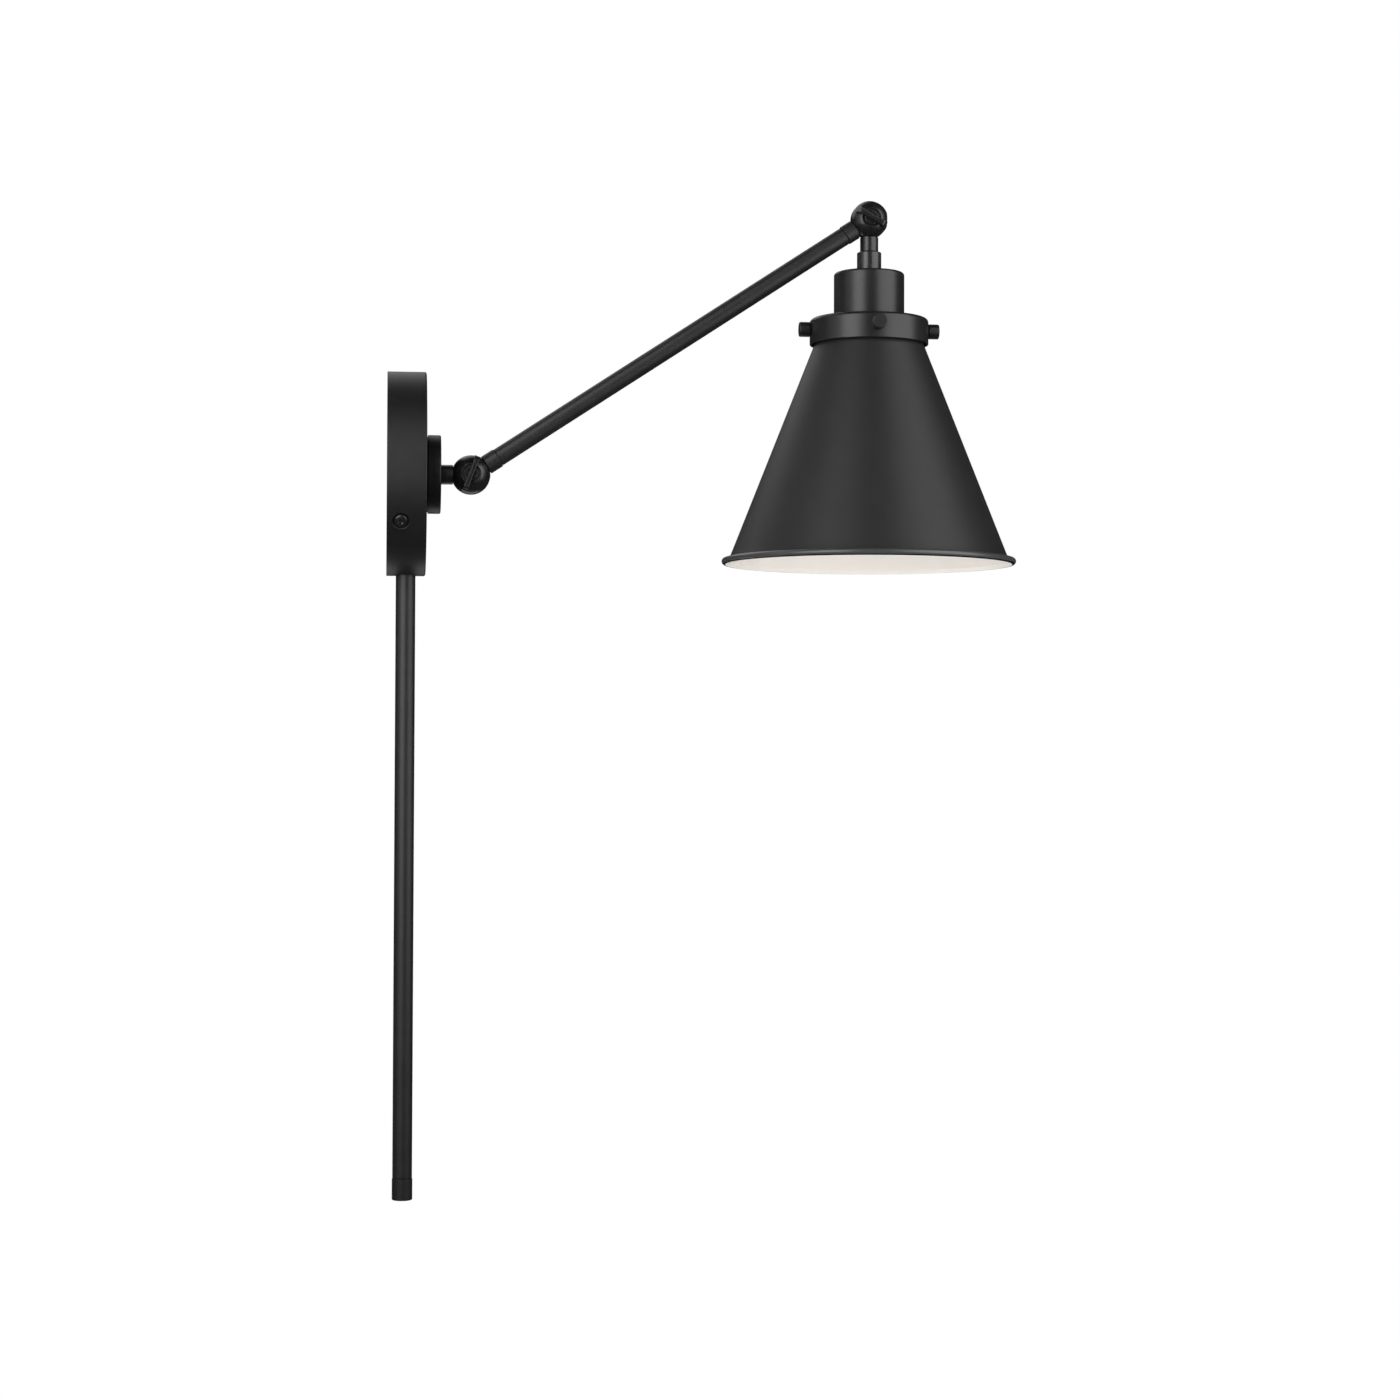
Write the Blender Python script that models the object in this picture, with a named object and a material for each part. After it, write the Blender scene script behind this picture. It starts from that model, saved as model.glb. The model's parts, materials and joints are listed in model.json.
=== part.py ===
"""Swing arm wall sconce: a round canopy with a cord cover, two ball knuckles and a cone shade.

Units are metres. The wall is the plane X = 0, +X points out of the wall and +Z is up.
The origin is the centre of the wall plate's back face. The canopy, the cord cover and the
wall plate stay on the wall. The stem swivels in the boss, the arm tilts in the lower
knuckle, the head tilts in the upper knuckle, and the shade swivels on the head's neck.
"""

import math

import bmesh
import bpy
from mathutils import Matrix, Vector

MM = 0.001

# Gaps between solids that touch or turn in each other on the real lamp
GAP = 0.3 * MM

# Canopy and wall plate
CANOPY_R = 63.5 * MM
CANOPY_DEPTH = 24.2 * MM
CANOPY_WALL = 1.5 * MM
CANOPY_EDGE_R = 1.2 * MM
CANOPY_INNER_EDGE = 0.8 * MM
PLATE_R = 52.0 * MM
PLATE_T = 1.6 * MM
SLOT_OFFSET = 38.0 * MM
SLOT_WIDTH = 5.0 * MM
SLOT_LENGTH = 14.0 * MM
WIRE_HOLE_R = 8.0 * MM
WIRE_HOLE_Z = 20.0 * MM

# Two screws hold the canopy to tabs on the wall plate, each in a dimple low on the side
SIDE_SCREW_X = 8.6 * MM
SIDE_SCREW_DROP = math.radians(32.2)
DIMPLE_R = 5.2 * MM
DIMPLE_DEPTH = 1.7 * MM
PAD_R = 7.0 * MM
PAD_DEPTH = 3.2 * MM
TAB_WIDTH = 14.0 * MM
TAB_HEIGHT = 14.0 * MM
TAB_OUTER = 59.9 * MM
TAB_STEP = 0.15 * MM
SIDE_SCREW_R = 1.8 * MM
SIDE_SCREW_HEAD_R = 4.0 * MM

# Boss and the swivel in its centre
BOSS_R = 24.5 * MM
BOSS_FRONT_X = 33.4 * MM
BOSS_EDGE_R = 1.0 * MM
BOSS_STEP = 0.9 * MM
SWIVEL_SPIGOT_R = 4.8 * MM
SWIVEL_SPIGOT_END_X = 11.0 * MM
STEM_R = 6.15 * MM
WIRE_BORE_R = 2.4 * MM
BOSS_SCREW_OFFSET = 14.5 * MM
BOSS_SCREW_R = 1.5 * MM
BOSS_SCREW_HEAD_R = 3.2 * MM

# Cord cover
COVER_X = 12.0 * MM
COVER_R = 6.1 * MM
COVER_BORE_R = 5.0 * MM
COVER_TOP_Z = -52.0 * MM
COVER_BOTTOM_Z = -437.0 * MM
FERRULE_R = 6.35 * MM
FERRULE_BOTTOM_Z = -450.7 * MM
CORD_OUTLET_R = 3.6 * MM

# Knuckles: a slotted ball, a tongue in the slot and a winged key along the pivot
LOWER_BALL_R = 12.5 * MM
UPPER_BALL_R = 12.1 * MM
LOWER_PIVOT = Vector((52.2 * MM, 0.0, 0.0))
UPPER_PIVOT = Vector((303.5 * MM, 0.0, 165.5 * MM))
SLOT_HALF = 3.0 * MM
SLOT_REACH = 12.9 * MM
BRIDGE_HALF = 3.6 * MM
BRIDGE_TOP = 6.9 * MM
TONGUE_HALF = 1.9 * MM
TONGUE_R = 6.5 * MM
TONGUE_BAR_HALF = 3.2 * MM
PIVOT_HOLE_R = 2.35 * MM
PIVOT_HOLE_END = 9.5 * MM
COUNTERBORE_R = 5.95 * MM
COUNTERBORE_FLOOR = 9.0 * MM
UPPER_BALL_FLAT = 10.7 * MM
FRICTION_WASHER_R = 6.4 * MM
FRICTION_WASHER_T = 0.5 * MM
KEY_SHANK_R = 2.0 * MM
KEY_SHANK_END = 8.8 * MM
KEY_HUB_R = 4.4 * MM
KEY_HUB_TOP = 10.6 * MM
LOWER_KEY_HALF_LENGTH = 11.4 * MM
UPPER_KEY_HALF_LENGTH = 10.3 * MM
KEY_END_HALF = 2.15 * MM
KEY_WAIST_HALF = 1.5 * MM
KEY_TOP = 14.6 * MM
KEY_END_SLOPE = 2.2 * MM
KEY_CLEARANCE = 0.8 * MM
LOWER_KEY_ANGLE = math.radians(69.0)
UPPER_KEY_ANGLE = math.radians(-29.0)

# Arm
ARM_TUBE_R = 5.7 * MM
ARM_BORE_R = 4.7 * MM
COUPLER_R = 6.15 * MM
COUPLER_CLEARANCE = 0.4 * MM
COUPLER_RELIEF = 12.0 * MM
LOWER_COUPLER_FAR = 20.0 * MM
UPPER_COUPLER_FAR = 18.7 * MM
SPIGOT_R = 4.4 * MM
SPIGOT_LENGTH = 14.0 * MM
ARM_CABLE_R = 1.8 * MM

# Head: neck, coupling, socket cup, shade collar
NECK_R = 5.75 * MM
NECK_BOTTOM_Z = 145.2 * MM
NECK_SPIGOT_END_Z = 123.0 * MM
COUPLING_R = 7.7 * MM
CUP_R = 22.3 * MM
CUP_TOP_Z = 131.8 * MM
CUP_WALL = 1.2 * MM
COLLAR_PLATE_T = 1.2 * MM
CUP_SPIGOT_R = 20.2 * MM
CUP_SPIGOT_BORE_R = 18.9 * MM
CUP_SPIGOT_END_Z = 97.0 * MM
COLLAR_R = 37.6 * MM
COLLAR_TOP_Z = 102.4 * MM
COLLAR_BOTTOM_Z = 86.0 * MM
COLLAR_WALL = 1.5 * MM
THUMBSCREW_Z = 95.2 * MM
THUMBSCREW_HEAD_R = 4.7 * MM
THUMBSCREW_HEAD_LENGTH = 6.7 * MM
THUMBSCREW_SHANK_R = 1.9 * MM

# Shade
SHADE_T = 1.0 * MM
SHADE_NECK_R = 34.4 * MM
SHADE_NECK_TOP_Z = 99.6 * MM
SHADE_LIP_R = 35.3 * MM
SHADE_SLOPE = 0.394
SHADE_CONE_TOP_Z = 85.6 * MM
SHADE_CONE_TOP_R = 34.85 * MM
SHADE_CONE_BOTTOM_Z = -44.0 * MM
BEAD_R = 1.45 * MM
BEAD_CENTRE_R = 91.55 * MM
BEAD_CENTRE_Z = -52.15 * MM

# Lampholder and bulb
HOLDER_R = 17.5 * MM
HOLDER_TOP_Z = 114.7 * MM
HOLDER_BOTTOM_Z = 78.0 * MM
HOLDER_CAVITY_R = 14.6 * MM
HOLDER_CAVITY_TOP_Z = 110.0 * MM
SHELL_R = 14.3 * MM
BULB_CAP_R = 13.1 * MM
BULB_R = 30.0 * MM
BULB_CENTRE_Z = 28.0 * MM
BULB_NECK_R = 12.2 * MM
BULB_GLASS_T = 0.8 * MM

# Sides of a round: large shells, tubes and balls, small fasteners, and the keys' wide waist arcs
SIDES_LARGE = 48
SIDES_MEDIUM = 24
SIDES_SMALL = 16
SIDES_WAIST = 384

# Rotations that lay a part's own +Z along a world axis
ALONG_X = (0.0, math.pi / 2, 0.0)
ALONG_MINUS_X = (0.0, -math.pi / 2, 0.0)
ALONG_MINUS_Y = (math.pi / 2, 0.0, 0.0)
UPRIGHT = (0.0, 0.0, 0.0)


# ---------------------------------------------------------------- shared tools

def clear_scene():
    """Start from an empty scene."""
    for obj in list(bpy.data.objects):
        bpy.data.objects.remove(obj, do_unlink=True)


def material(name, colour, roughness, metallic=0.0):
    """One Principled finish."""
    mat = bpy.data.materials.new(name)
    mat.use_nodes = True
    shader = mat.node_tree.nodes["Principled BSDF"]
    shader.inputs["Base Color"].default_value = (*colour, 1.0)
    shader.inputs["Roughness"].default_value = roughness
    shader.inputs["Metallic"].default_value = metallic
    mat.diffuse_color = (*colour, 1.0)
    return mat


def satin_black(name):
    return material(name, (0.018, 0.018, 0.019), 0.45)


def zinc(name):
    return material(name, (0.62, 0.63, 0.65), 0.35, 1.0)


def brass(name):
    return material(name, (0.72, 0.55, 0.25), 0.35, 1.0)


def add_object(name, mesh, mat, parent=None, location=(0.0, 0.0, 0.0), rotation=UPRIGHT):
    """Put a mesh in the scene as a named piece."""
    obj = bpy.data.objects.new(name, mesh)
    bpy.context.scene.collection.objects.link(obj)
    obj.location = location
    obj.rotation_euler = rotation
    obj.parent = parent
    if mat is not None:
        mesh.materials.append(mat)
    return obj


def mesh_from(name, bm):
    """Turn a finished bmesh into a mesh with outward faces."""
    bmesh.ops.remove_doubles(bm, verts=bm.verts, dist=1e-7)
    bmesh.ops.recalc_face_normals(bm, faces=bm.faces)
    mesh = bpy.data.meshes.new(name)
    bm.to_mesh(mesh)
    bm.free()
    return mesh


def lathe(name, profile, mat, sides=SIDES_MEDIUM, **place):
    """Turn a closed outline of (radius, height) points about the piece's own Z axis."""
    bm = bmesh.new()
    verts = [bm.verts.new((radius, 0.0, height)) for radius, height in profile]
    edges = []
    for first, second in zip(verts, verts[1:] + verts[:1]):
        if first.co.x > 0.0 or second.co.x > 0.0:
            edges.append(bm.edges.new((first, second)))
    bmesh.ops.spin(bm, geom=verts + edges, cent=(0, 0, 0), axis=(0, 0, 1), dvec=(0, 0, 0),
                   angle=2 * math.pi, steps=sides, use_merge=True, use_duplicate=False)
    return add_object(name, mesh_from(name, bm), mat, **place)


def rod(name, radius, low, high, mat, sides=SIDES_SMALL, **place):
    """A plain solid cylinder between two heights."""
    return lathe(name, [(0, low), (radius, low), (radius, high), (0, high)], mat, sides, **place)


def ring(name, bore, radius, low, high, mat, sides=SIDES_SMALL, **place):
    """A plain washer or sleeve."""
    outline = [(bore, low), (radius, low), (radius, high), (bore, high)]
    return lathe(name, outline, mat, sides, **place)


def extruded(name, outline, half_depth, mat, **place):
    """Extrude a flat (x, z) outline along the piece's own Y, the same depth each way."""
    bm = bmesh.new()
    face = bm.faces.new([bm.verts.new((x, -half_depth, z)) for x, z in outline])
    moved = bmesh.ops.extrude_face_region(bm, geom=[face])["geom"]
    top = [item for item in moved if isinstance(item, bmesh.types.BMVert)]
    bmesh.ops.translate(bm, verts=top, vec=(0.0, 2 * half_depth, 0.0))
    return add_object(name, mesh_from(name, bm), mat, **place)


def block(name, low, high, mat, **place):
    """A box between two corners."""
    low, high = Vector(low), Vector(high)
    bm = bmesh.new()
    bmesh.ops.create_cube(bm, size=1.0)
    bmesh.ops.scale(bm, verts=bm.verts, vec=high - low)
    bmesh.ops.translate(bm, verts=bm.verts, vec=(low + high) / 2)
    return add_object(name, mesh_from(name, bm), mat, **place)


def arc(centre, radius, start, end, steps):
    """Points on an arc in the outline's plane, angles in degrees."""
    points = []
    for step in range(steps + 1):
        angle = math.radians(start + (end - start) * step / steps)
        points.append((centre[0] + radius * math.cos(angle), centre[1] + radius * math.sin(angle)))
    return points


def combine(target, helper, operation):
    """Add a helper to a piece, or cut it away, and keep the helper out of the model."""
    helper.hide_render = True
    helper.display_type = 'WIRE'
    boolean = target.modifiers.new(f"{operation.title()} {helper.name}", 'BOOLEAN')
    boolean.operation = operation
    boolean.solver = 'EXACT'
    boolean.object = helper


def cut(target, helper):
    combine(target, helper, 'DIFFERENCE')


def join(target, helper):
    combine(target, helper, 'UNION')


def body_frame(name, location, rotation=UPRIGHT, parent=None):
    """An empty on a joint's axis that carries the pieces which move together."""
    frame = bpy.data.objects.new(name, None)
    bpy.context.scene.collection.objects.link(frame)
    frame.empty_display_size = 0.02
    frame.location = location
    frame.rotation_euler = rotation
    frame.parent = parent
    return frame


def side_screw_places():
    """Name, centre at the wall plane's height and outward direction of each canopy screw."""
    for side, sign in (("near", -1.0), ("far", 1.0)):
        outward = Vector((0.0, sign * math.cos(SIDE_SCREW_DROP), -math.sin(SIDE_SCREW_DROP)))
        yield side, outward


def radial_rotation(outward):
    """Rotation that lays +Z along a direction in the wall's plane and keeps +X square to it."""
    out_of_wall = Vector((1.0, 0.0, 0.0))
    return Matrix((out_of_wall, outward.cross(out_of_wall), outward)).transposed().to_euler()


# ---------------------------------------------------------------- wall side

def wall_plate():
    """Round plate flat on the wall, with two slots, a wire hole and two bent tabs."""
    mat = zinc("plate zinc")
    plate = rod("wall_plate", PLATE_R, 0.0, PLATE_T, mat, SIDES_MEDIUM, rotation=ALONG_X)
    for side, outward in side_screw_places():
        turn = radial_rotation(outward)
        half_foot = TAB_WIDTH / 2 - TAB_STEP
        foot = block(f"tab foot {side}", (TAB_STEP, -half_foot, 46 * MM),
                     (PLATE_T - TAB_STEP, half_foot, TAB_OUTER - PLATE_T / 2), None, rotation=turn)
        tab = block(f"tab {side}", (2 * TAB_STEP, -TAB_WIDTH / 2, TAB_OUTER - PLATE_T),
                    (TAB_HEIGHT, TAB_WIDTH / 2, TAB_OUTER), None, rotation=turn)
        hole = rod(f"tab hole {side}", SIDE_SCREW_R + GAP, 50 * MM, 70 * MM, None,
                   location=(SIDE_SCREW_X, 0, 0), rotation=turn)
        join(plate, foot)
        join(plate, tab)
        cut(plate, hole)
    for label, z in (("upper", SLOT_OFFSET), ("lower", -SLOT_OFFSET)):
        slot = block(f"{label} slot", (-PLATE_T, -SLOT_LENGTH / 2, z - SLOT_WIDTH / 2),
                     (2 * PLATE_T, SLOT_LENGTH / 2, z + SLOT_WIDTH / 2), None)
        cut(plate, slot)
    cut(plate, rod("wire hole", WIRE_HOLE_R, -PLATE_T, 2 * PLATE_T, None,
                   location=(0, 0, WIRE_HOLE_Z), rotation=ALONG_X))
    cut(plate, rod("ground hole", 1.9 * MM, -PLATE_T, 2 * PLATE_T, None,
                   location=(0, 22 * MM, -22 * MM), rotation=ALONG_X))


def ground_screw():
    outline = [(0, 0.3 * MM), (1.6 * MM, 0.3 * MM), (1.6 * MM, PLATE_T + GAP),
               (4.0 * MM, PLATE_T + GAP), (4.0 * MM, 3.9 * MM), (3.2 * MM, 4.6 * MM), (0, 4.6 * MM)]
    lathe("ground_screw", outline, material("ground green", (0.02, 0.25, 0.07), 0.4, 0.6),
          SIDES_SMALL, location=(0, 22 * MM, -22 * MM), rotation=ALONG_X)


def canopy():
    """Round cover shell, open to the wall, with the cord cover's hole at the bottom."""
    inner_r = CANOPY_R - CANOPY_WALL
    inner_x = CANOPY_DEPTH - CANOPY_WALL
    spigot_hole = SWIVEL_SPIGOT_R + GAP
    outline = [(CANOPY_R, 0)]
    outline += arc((CANOPY_R - CANOPY_EDGE_R, CANOPY_DEPTH - CANOPY_EDGE_R), CANOPY_EDGE_R, 0, 90, 4)
    outline += [(spigot_hole, CANOPY_DEPTH), (spigot_hole, inner_x)]
    outline += [(inner_r - CANOPY_INNER_EDGE, inner_x), (inner_r, inner_x - CANOPY_INNER_EDGE)]
    outline += [(inner_r, 0)]
    shell = lathe("canopy", outline, satin_black("canopy black"), SIDES_LARGE, rotation=ALONG_X)
    for side, outward in side_screw_places():
        turn = radial_rotation(outward)
        place = {"location": (SIDE_SCREW_X, 0, 0), "rotation": turn}
        join(shell, rod(f"screw pad {side}", PAD_R, CANOPY_R - PAD_DEPTH, CANOPY_R - 0.9 * MM, None,
                        SIDES_SMALL, **place))
        cut(shell, rod(f"dimple {side}", DIMPLE_R, CANOPY_R - DIMPLE_DEPTH, CANOPY_R + 3 * MM, None,
                       SIDES_MEDIUM, **place))
        cut(shell, rod(f"screw hole {side}", SIDE_SCREW_R + GAP, 50 * MM, 70 * MM, None,
                       SIDES_SMALL, **place))
    cut(shell, rod("cord cover hole", COVER_R + GAP, -70 * MM, -50 * MM, None, SIDES_MEDIUM,
                   location=(COVER_X, 0, 0)))
    for label, z in (("upper", BOSS_SCREW_OFFSET), ("lower", -BOSS_SCREW_OFFSET)):
        cut(shell, rod(f"boss screw hole {label}", BOSS_SCREW_R + GAP, 20 * MM, 26 * MM, None,
                       location=(0, 0, z), rotation=ALONG_X))


def canopy_screws():
    """Pan head screws that pull the canopy on to the wall plate's tabs."""
    floor = CANOPY_R - DIMPLE_DEPTH + GAP
    outline = [(0, 54 * MM), (SIDE_SCREW_R, 54 * MM), (SIDE_SCREW_R, floor),
               (SIDE_SCREW_HEAD_R, floor), (SIDE_SCREW_HEAD_R, floor + 0.9 * MM),
               (SIDE_SCREW_HEAD_R - 1.2 * MM, floor + 1.6 * MM), (0, floor + 1.8 * MM)]
    for side, outward in side_screw_places():
        lathe(f"canopy_screw_{side}", outline, satin_black(f"screw black {side}"), SIDES_SMALL,
              location=(SIDE_SCREW_X, 0, 0), rotation=radial_rotation(outward))


def swivel_boss():
    """Thick disc on the canopy's face that carries the stem's swivel."""
    back = CANOPY_DEPTH + GAP
    bore = SWIVEL_SPIGOT_R + GAP
    step_r = BOSS_R - BOSS_STEP
    outline = [(bore, back), (step_r, back), (step_r, back + BOSS_STEP), (BOSS_R, back + BOSS_STEP)]
    outline += arc((BOSS_R - BOSS_EDGE_R, BOSS_FRONT_X - BOSS_EDGE_R), BOSS_EDGE_R, 0, 90, 3)
    outline += [(bore, BOSS_FRONT_X)]
    boss = lathe("swivel_boss", outline, satin_black("boss black"), SIDES_LARGE, rotation=ALONG_X)
    for label, z in (("upper", BOSS_SCREW_OFFSET), ("lower", -BOSS_SCREW_OFFSET)):
        cut(boss, rod(f"boss thread {label}", BOSS_SCREW_R + GAP, 20 * MM, 31 * MM, None,
                      location=(0, 0, z), rotation=ALONG_X))


def boss_screws():
    """Two screws through the canopy's face into the back of the boss."""
    seat = CANOPY_DEPTH - CANOPY_WALL - GAP
    outline = [(0, seat - 2.0 * MM), (BOSS_SCREW_HEAD_R, seat - 2.0 * MM), (BOSS_SCREW_HEAD_R, seat),
               (BOSS_SCREW_R, seat), (BOSS_SCREW_R, 30.4 * MM), (0, 30.4 * MM)]
    for label, z in (("upper", BOSS_SCREW_OFFSET), ("lower", -BOSS_SCREW_OFFSET)):
        lathe(f"boss_screw_{label}", outline, zinc(f"boss screw zinc {label}"), SIDES_SMALL,
              location=(0, 0, z), rotation=ALONG_X)


def cord_cover():
    """Long tube that hides the cord down the wall, its locknut and its end ferrule."""
    ring("cord_cover_tube", COVER_BORE_R, COVER_R, COVER_BOTTOM_Z, COVER_TOP_Z,
         satin_black("cover black"), SIDES_MEDIUM, location=(COVER_X, 0, 0))
    hex_nut("cord_cover_locknut", 9.0 * MM, COVER_R + GAP, -58.4 * MM, -54.4 * MM,
            location=(COVER_X, 0, 0))
    top = COVER_BOTTOM_Z - GAP
    spigot = COVER_BORE_R - GAP
    outline = [(CORD_OUTLET_R, FERRULE_BOTTOM_Z), (FERRULE_R - 0.8 * MM, FERRULE_BOTTOM_Z),
               (FERRULE_R, FERRULE_BOTTOM_Z + 0.8 * MM), (FERRULE_R, top - 0.3 * MM),
               (FERRULE_R - 0.3 * MM, top), (spigot, top), (spigot, top + 12 * MM),
               (CORD_OUTLET_R, top + 12 * MM)]
    lathe("cord_outlet_ferrule", outline, satin_black("ferrule black"), SIDES_MEDIUM,
          location=(COVER_X, 0, 0))


def hex_nut(name, corner_r, bore, low, high, **place):
    """A six-sided nut with a round bore."""
    bm = bmesh.new()
    disc = bmesh.ops.create_circle(bm, cap_ends=True, segments=6, radius=corner_r)["verts"]
    bmesh.ops.translate(bm, verts=disc, vec=(0, 0, low))
    moved = bmesh.ops.extrude_face_region(bm, geom=bm.faces[:])["geom"]
    top = [item for item in moved if isinstance(item, bmesh.types.BMVert)]
    bmesh.ops.translate(bm, verts=top, vec=(0, 0, high - low))
    nut = add_object(name, mesh_from(name, bm), zinc(f"{name} zinc"), **place)
    cut(nut, rod(f"{name} bore", bore, low - 1 * MM, high + 1 * MM, None, SIDES_SMALL, **place))
    return nut


def wire(name, points, radius, mat):
    """A short insulated lead through the given points, smoothed between them."""
    data = bpy.data.curves.new(name, 'CURVE')
    data.dimensions = '3D'
    data.bevel_depth = radius
    data.bevel_resolution = 2
    data.use_fill_caps = True
    spline = data.splines.new('POLY')
    smooth = smooth_route(points)
    spline.points.add(len(smooth) - 1)
    for place, point in zip(spline.points, smooth):
        place.co = (*point, 1.0)
    obj = bpy.data.objects.new(name, data)
    bpy.context.scene.collection.objects.link(obj)
    data.materials.append(mat)
    return obj


def smooth_route(points, steps=4):
    """Catmull-Rom curve through the points of a lead's route."""
    points = [Vector(point) for point in points]
    padded = [2 * points[0] - points[1]] + points + [2 * points[-1] - points[-2]]
    route = []
    for a, b, c, d in zip(padded, padded[1:], padded[2:], padded[3:]):
        for step in range(steps):
            t = step / steps
            route.append(0.5 * (2 * b + (c - a) * t + (2 * a - 5 * b + 4 * c - d) * t * t
                                + (3 * b - a - 3 * c + d) * t ** 3))
    return route + [points[-1]]


def canopy_wiring():
    """Two leads from the stem's bore to the wire connectors inside the canopy."""
    colours = {"live": (0.02, 0.02, 0.02), "neutral": (0.8, 0.8, 0.78)}
    for (name, colour), side in zip(colours.items(), (-1.0, 1.0)):
        route = [(10.4, 1.3, 0.0), (7.6, 2.2, 0.6), (6.6, 7.0, 2.0), (9.0, 18.0, 3.5),
                 (11.6, 26.5, 5.0), (12.0, 29.0, 9.0), (12.0, 29.0, 13.2)]
        points = [(x * MM, side * y * MM, z * MM) for x, y, z in route]
        wire(f"{name}_lead", points, 1.1 * MM, material(f"{name} insulation", colour, 0.45))
        outline = [(0, 13.5 * MM), (6.0 * MM, 13.5 * MM), (5.6 * MM, 20.0 * MM),
                   (4.2 * MM, 33.0 * MM), (3.2 * MM, 34.5 * MM), (0, 34.5 * MM)]
        lathe(f"{name}_wire_connector", outline, material(f"{name} connector", (0.8, 0.25, 0.05), 0.4),
              SIDES_SMALL, location=(12 * MM, side * 29 * MM, 0))


# ---------------------------------------------------------------- knuckles

def slotted_ball(name, radius, stem_outline, mat, rotation, frame, flat=None):
    """Ball and its stem, which leaves along the piece's own -Z, slotted for the tongue.

    The slot stops at a bridge on the stem's side that ties the two cheeks together.
    """
    contact = math.degrees(math.asin(stem_outline[0][0] / radius))
    outline = arc((0, 0), radius, 90, contact - 90, 13)
    outline[0] = (0, radius)
    outline += stem_outline
    ball = lathe(name, outline, mat, SIDES_MEDIUM, parent=frame, rotation=rotation)
    gap_angle = math.degrees(math.asin(BRIDGE_HALF / SLOT_REACH))
    slot = arc((0, 0), SLOT_REACH, -90 + gap_angle, 270 - gap_angle, 28)
    slot += [(-BRIDGE_HALF, -BRIDGE_TOP), (BRIDGE_HALF, -BRIDGE_TOP)]
    cut(ball, extruded(f"{name} slot", slot, SLOT_HALF, None, parent=frame, rotation=rotation))
    cut(ball, rod(f"{name} pivot hole", PIVOT_HOLE_R, -PIVOT_HOLE_END, 20 * MM, None, SIDES_SMALL,
                  parent=frame, rotation=ALONG_MINUS_Y))
    cut(ball, rod(f"{name} counterbore", COUNTERBORE_R, COUNTERBORE_FLOOR, 20 * MM, None,
                  SIDES_MEDIUM, parent=frame, rotation=ALONG_MINUS_Y))
    if flat is not None:
        cut(ball, block(f"{name} flat", (flat, -20 * MM, -9 * MM), (20 * MM, 20 * MM, 20 * MM),
                        None, parent=frame))
    return ball


def friction_washers(label, frame):
    """A thin washer each side of the tongue."""
    middle = (SLOT_HALF + TONGUE_HALF) / 2
    for side, sign in (("near", 1.0), ("far", -1.0)):
        centre = sign * middle
        ring(f"{label}_friction_washer_{side}", PIVOT_HOLE_R, FRICTION_WASHER_R,
             centre - FRICTION_WASHER_T / 2, centre + FRICTION_WASHER_T / 2,
             material(f"{label} fibre {side}", (0.25, 0.08, 0.04), 0.8), SIDES_SMALL,
             parent=frame, rotation=ALONG_MINUS_Y)


def winged_key(label, ball_r, half_length, angle, frame):
    """Screw along the pivot with a waisted bar that bridges the ball's recess.

    The bar's underside follows the ball and stands clear of it, so the key turns freely.
    """
    hub_base = COUNTERBORE_FLOOR + GAP
    outline = [(0, -KEY_SHANK_END), (KEY_SHANK_R, -KEY_SHANK_END), (KEY_SHANK_R, hub_base),
               (KEY_HUB_R, hub_base), (KEY_HUB_R, KEY_HUB_TOP - 0.3 * MM),
               (KEY_HUB_R - 0.3 * MM, KEY_HUB_TOP), (0, KEY_HUB_TOP)]
    key = lathe(f"{label}_winged_key", outline, satin_black(f"{label} key black"), SIDES_SMALL,
                parent=frame, rotation=ALONG_MINUS_Y)
    clear_r = ball_r + KEY_CLEARANCE
    tip_angle = math.degrees(math.acos(half_length / clear_r))
    root_angle = math.degrees(math.acos((COUNTERBORE_R - 0.2 * MM) / clear_r))
    right = [(KEY_HUB_R - 0.4 * MM, KEY_HUB_TOP - 0.8 * MM),
             (COUNTERBORE_R - 0.6 * MM, KEY_HUB_TOP - 0.2 * MM)]
    right += arc((0, 0), clear_r, root_angle, tip_angle, 4)
    right += [(half_length, KEY_TOP - 1.4 * KEY_END_SLOPE), (half_length - KEY_END_SLOPE, KEY_TOP)]
    left = [(-x, z) for x, z in reversed(right)]
    blade = extruded(f"{label} blade", right + left, KEY_END_HALF, None, parent=frame)
    blade.rotation_euler = (math.pi / 2, -angle, 0.0)
    join(key, blade)
    for side in (1.0, -1.0):
        sagitta = KEY_END_HALF - KEY_WAIST_HALF
        waist_r = (half_length ** 2 + sagitta ** 2) / (2 * sagitta)
        along = Vector((-math.sin(angle), 0.0, math.cos(angle))) * side
        centre = along * (KEY_WAIST_HALF + waist_r)
        cut(key, rod(f"{label} waist {side:+.0f}", waist_r, KEY_HUB_TOP, 20 * MM, None, SIDES_WAIST,
                     parent=frame, location=centre, rotation=ALONG_MINUS_Y))
    return key


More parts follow.
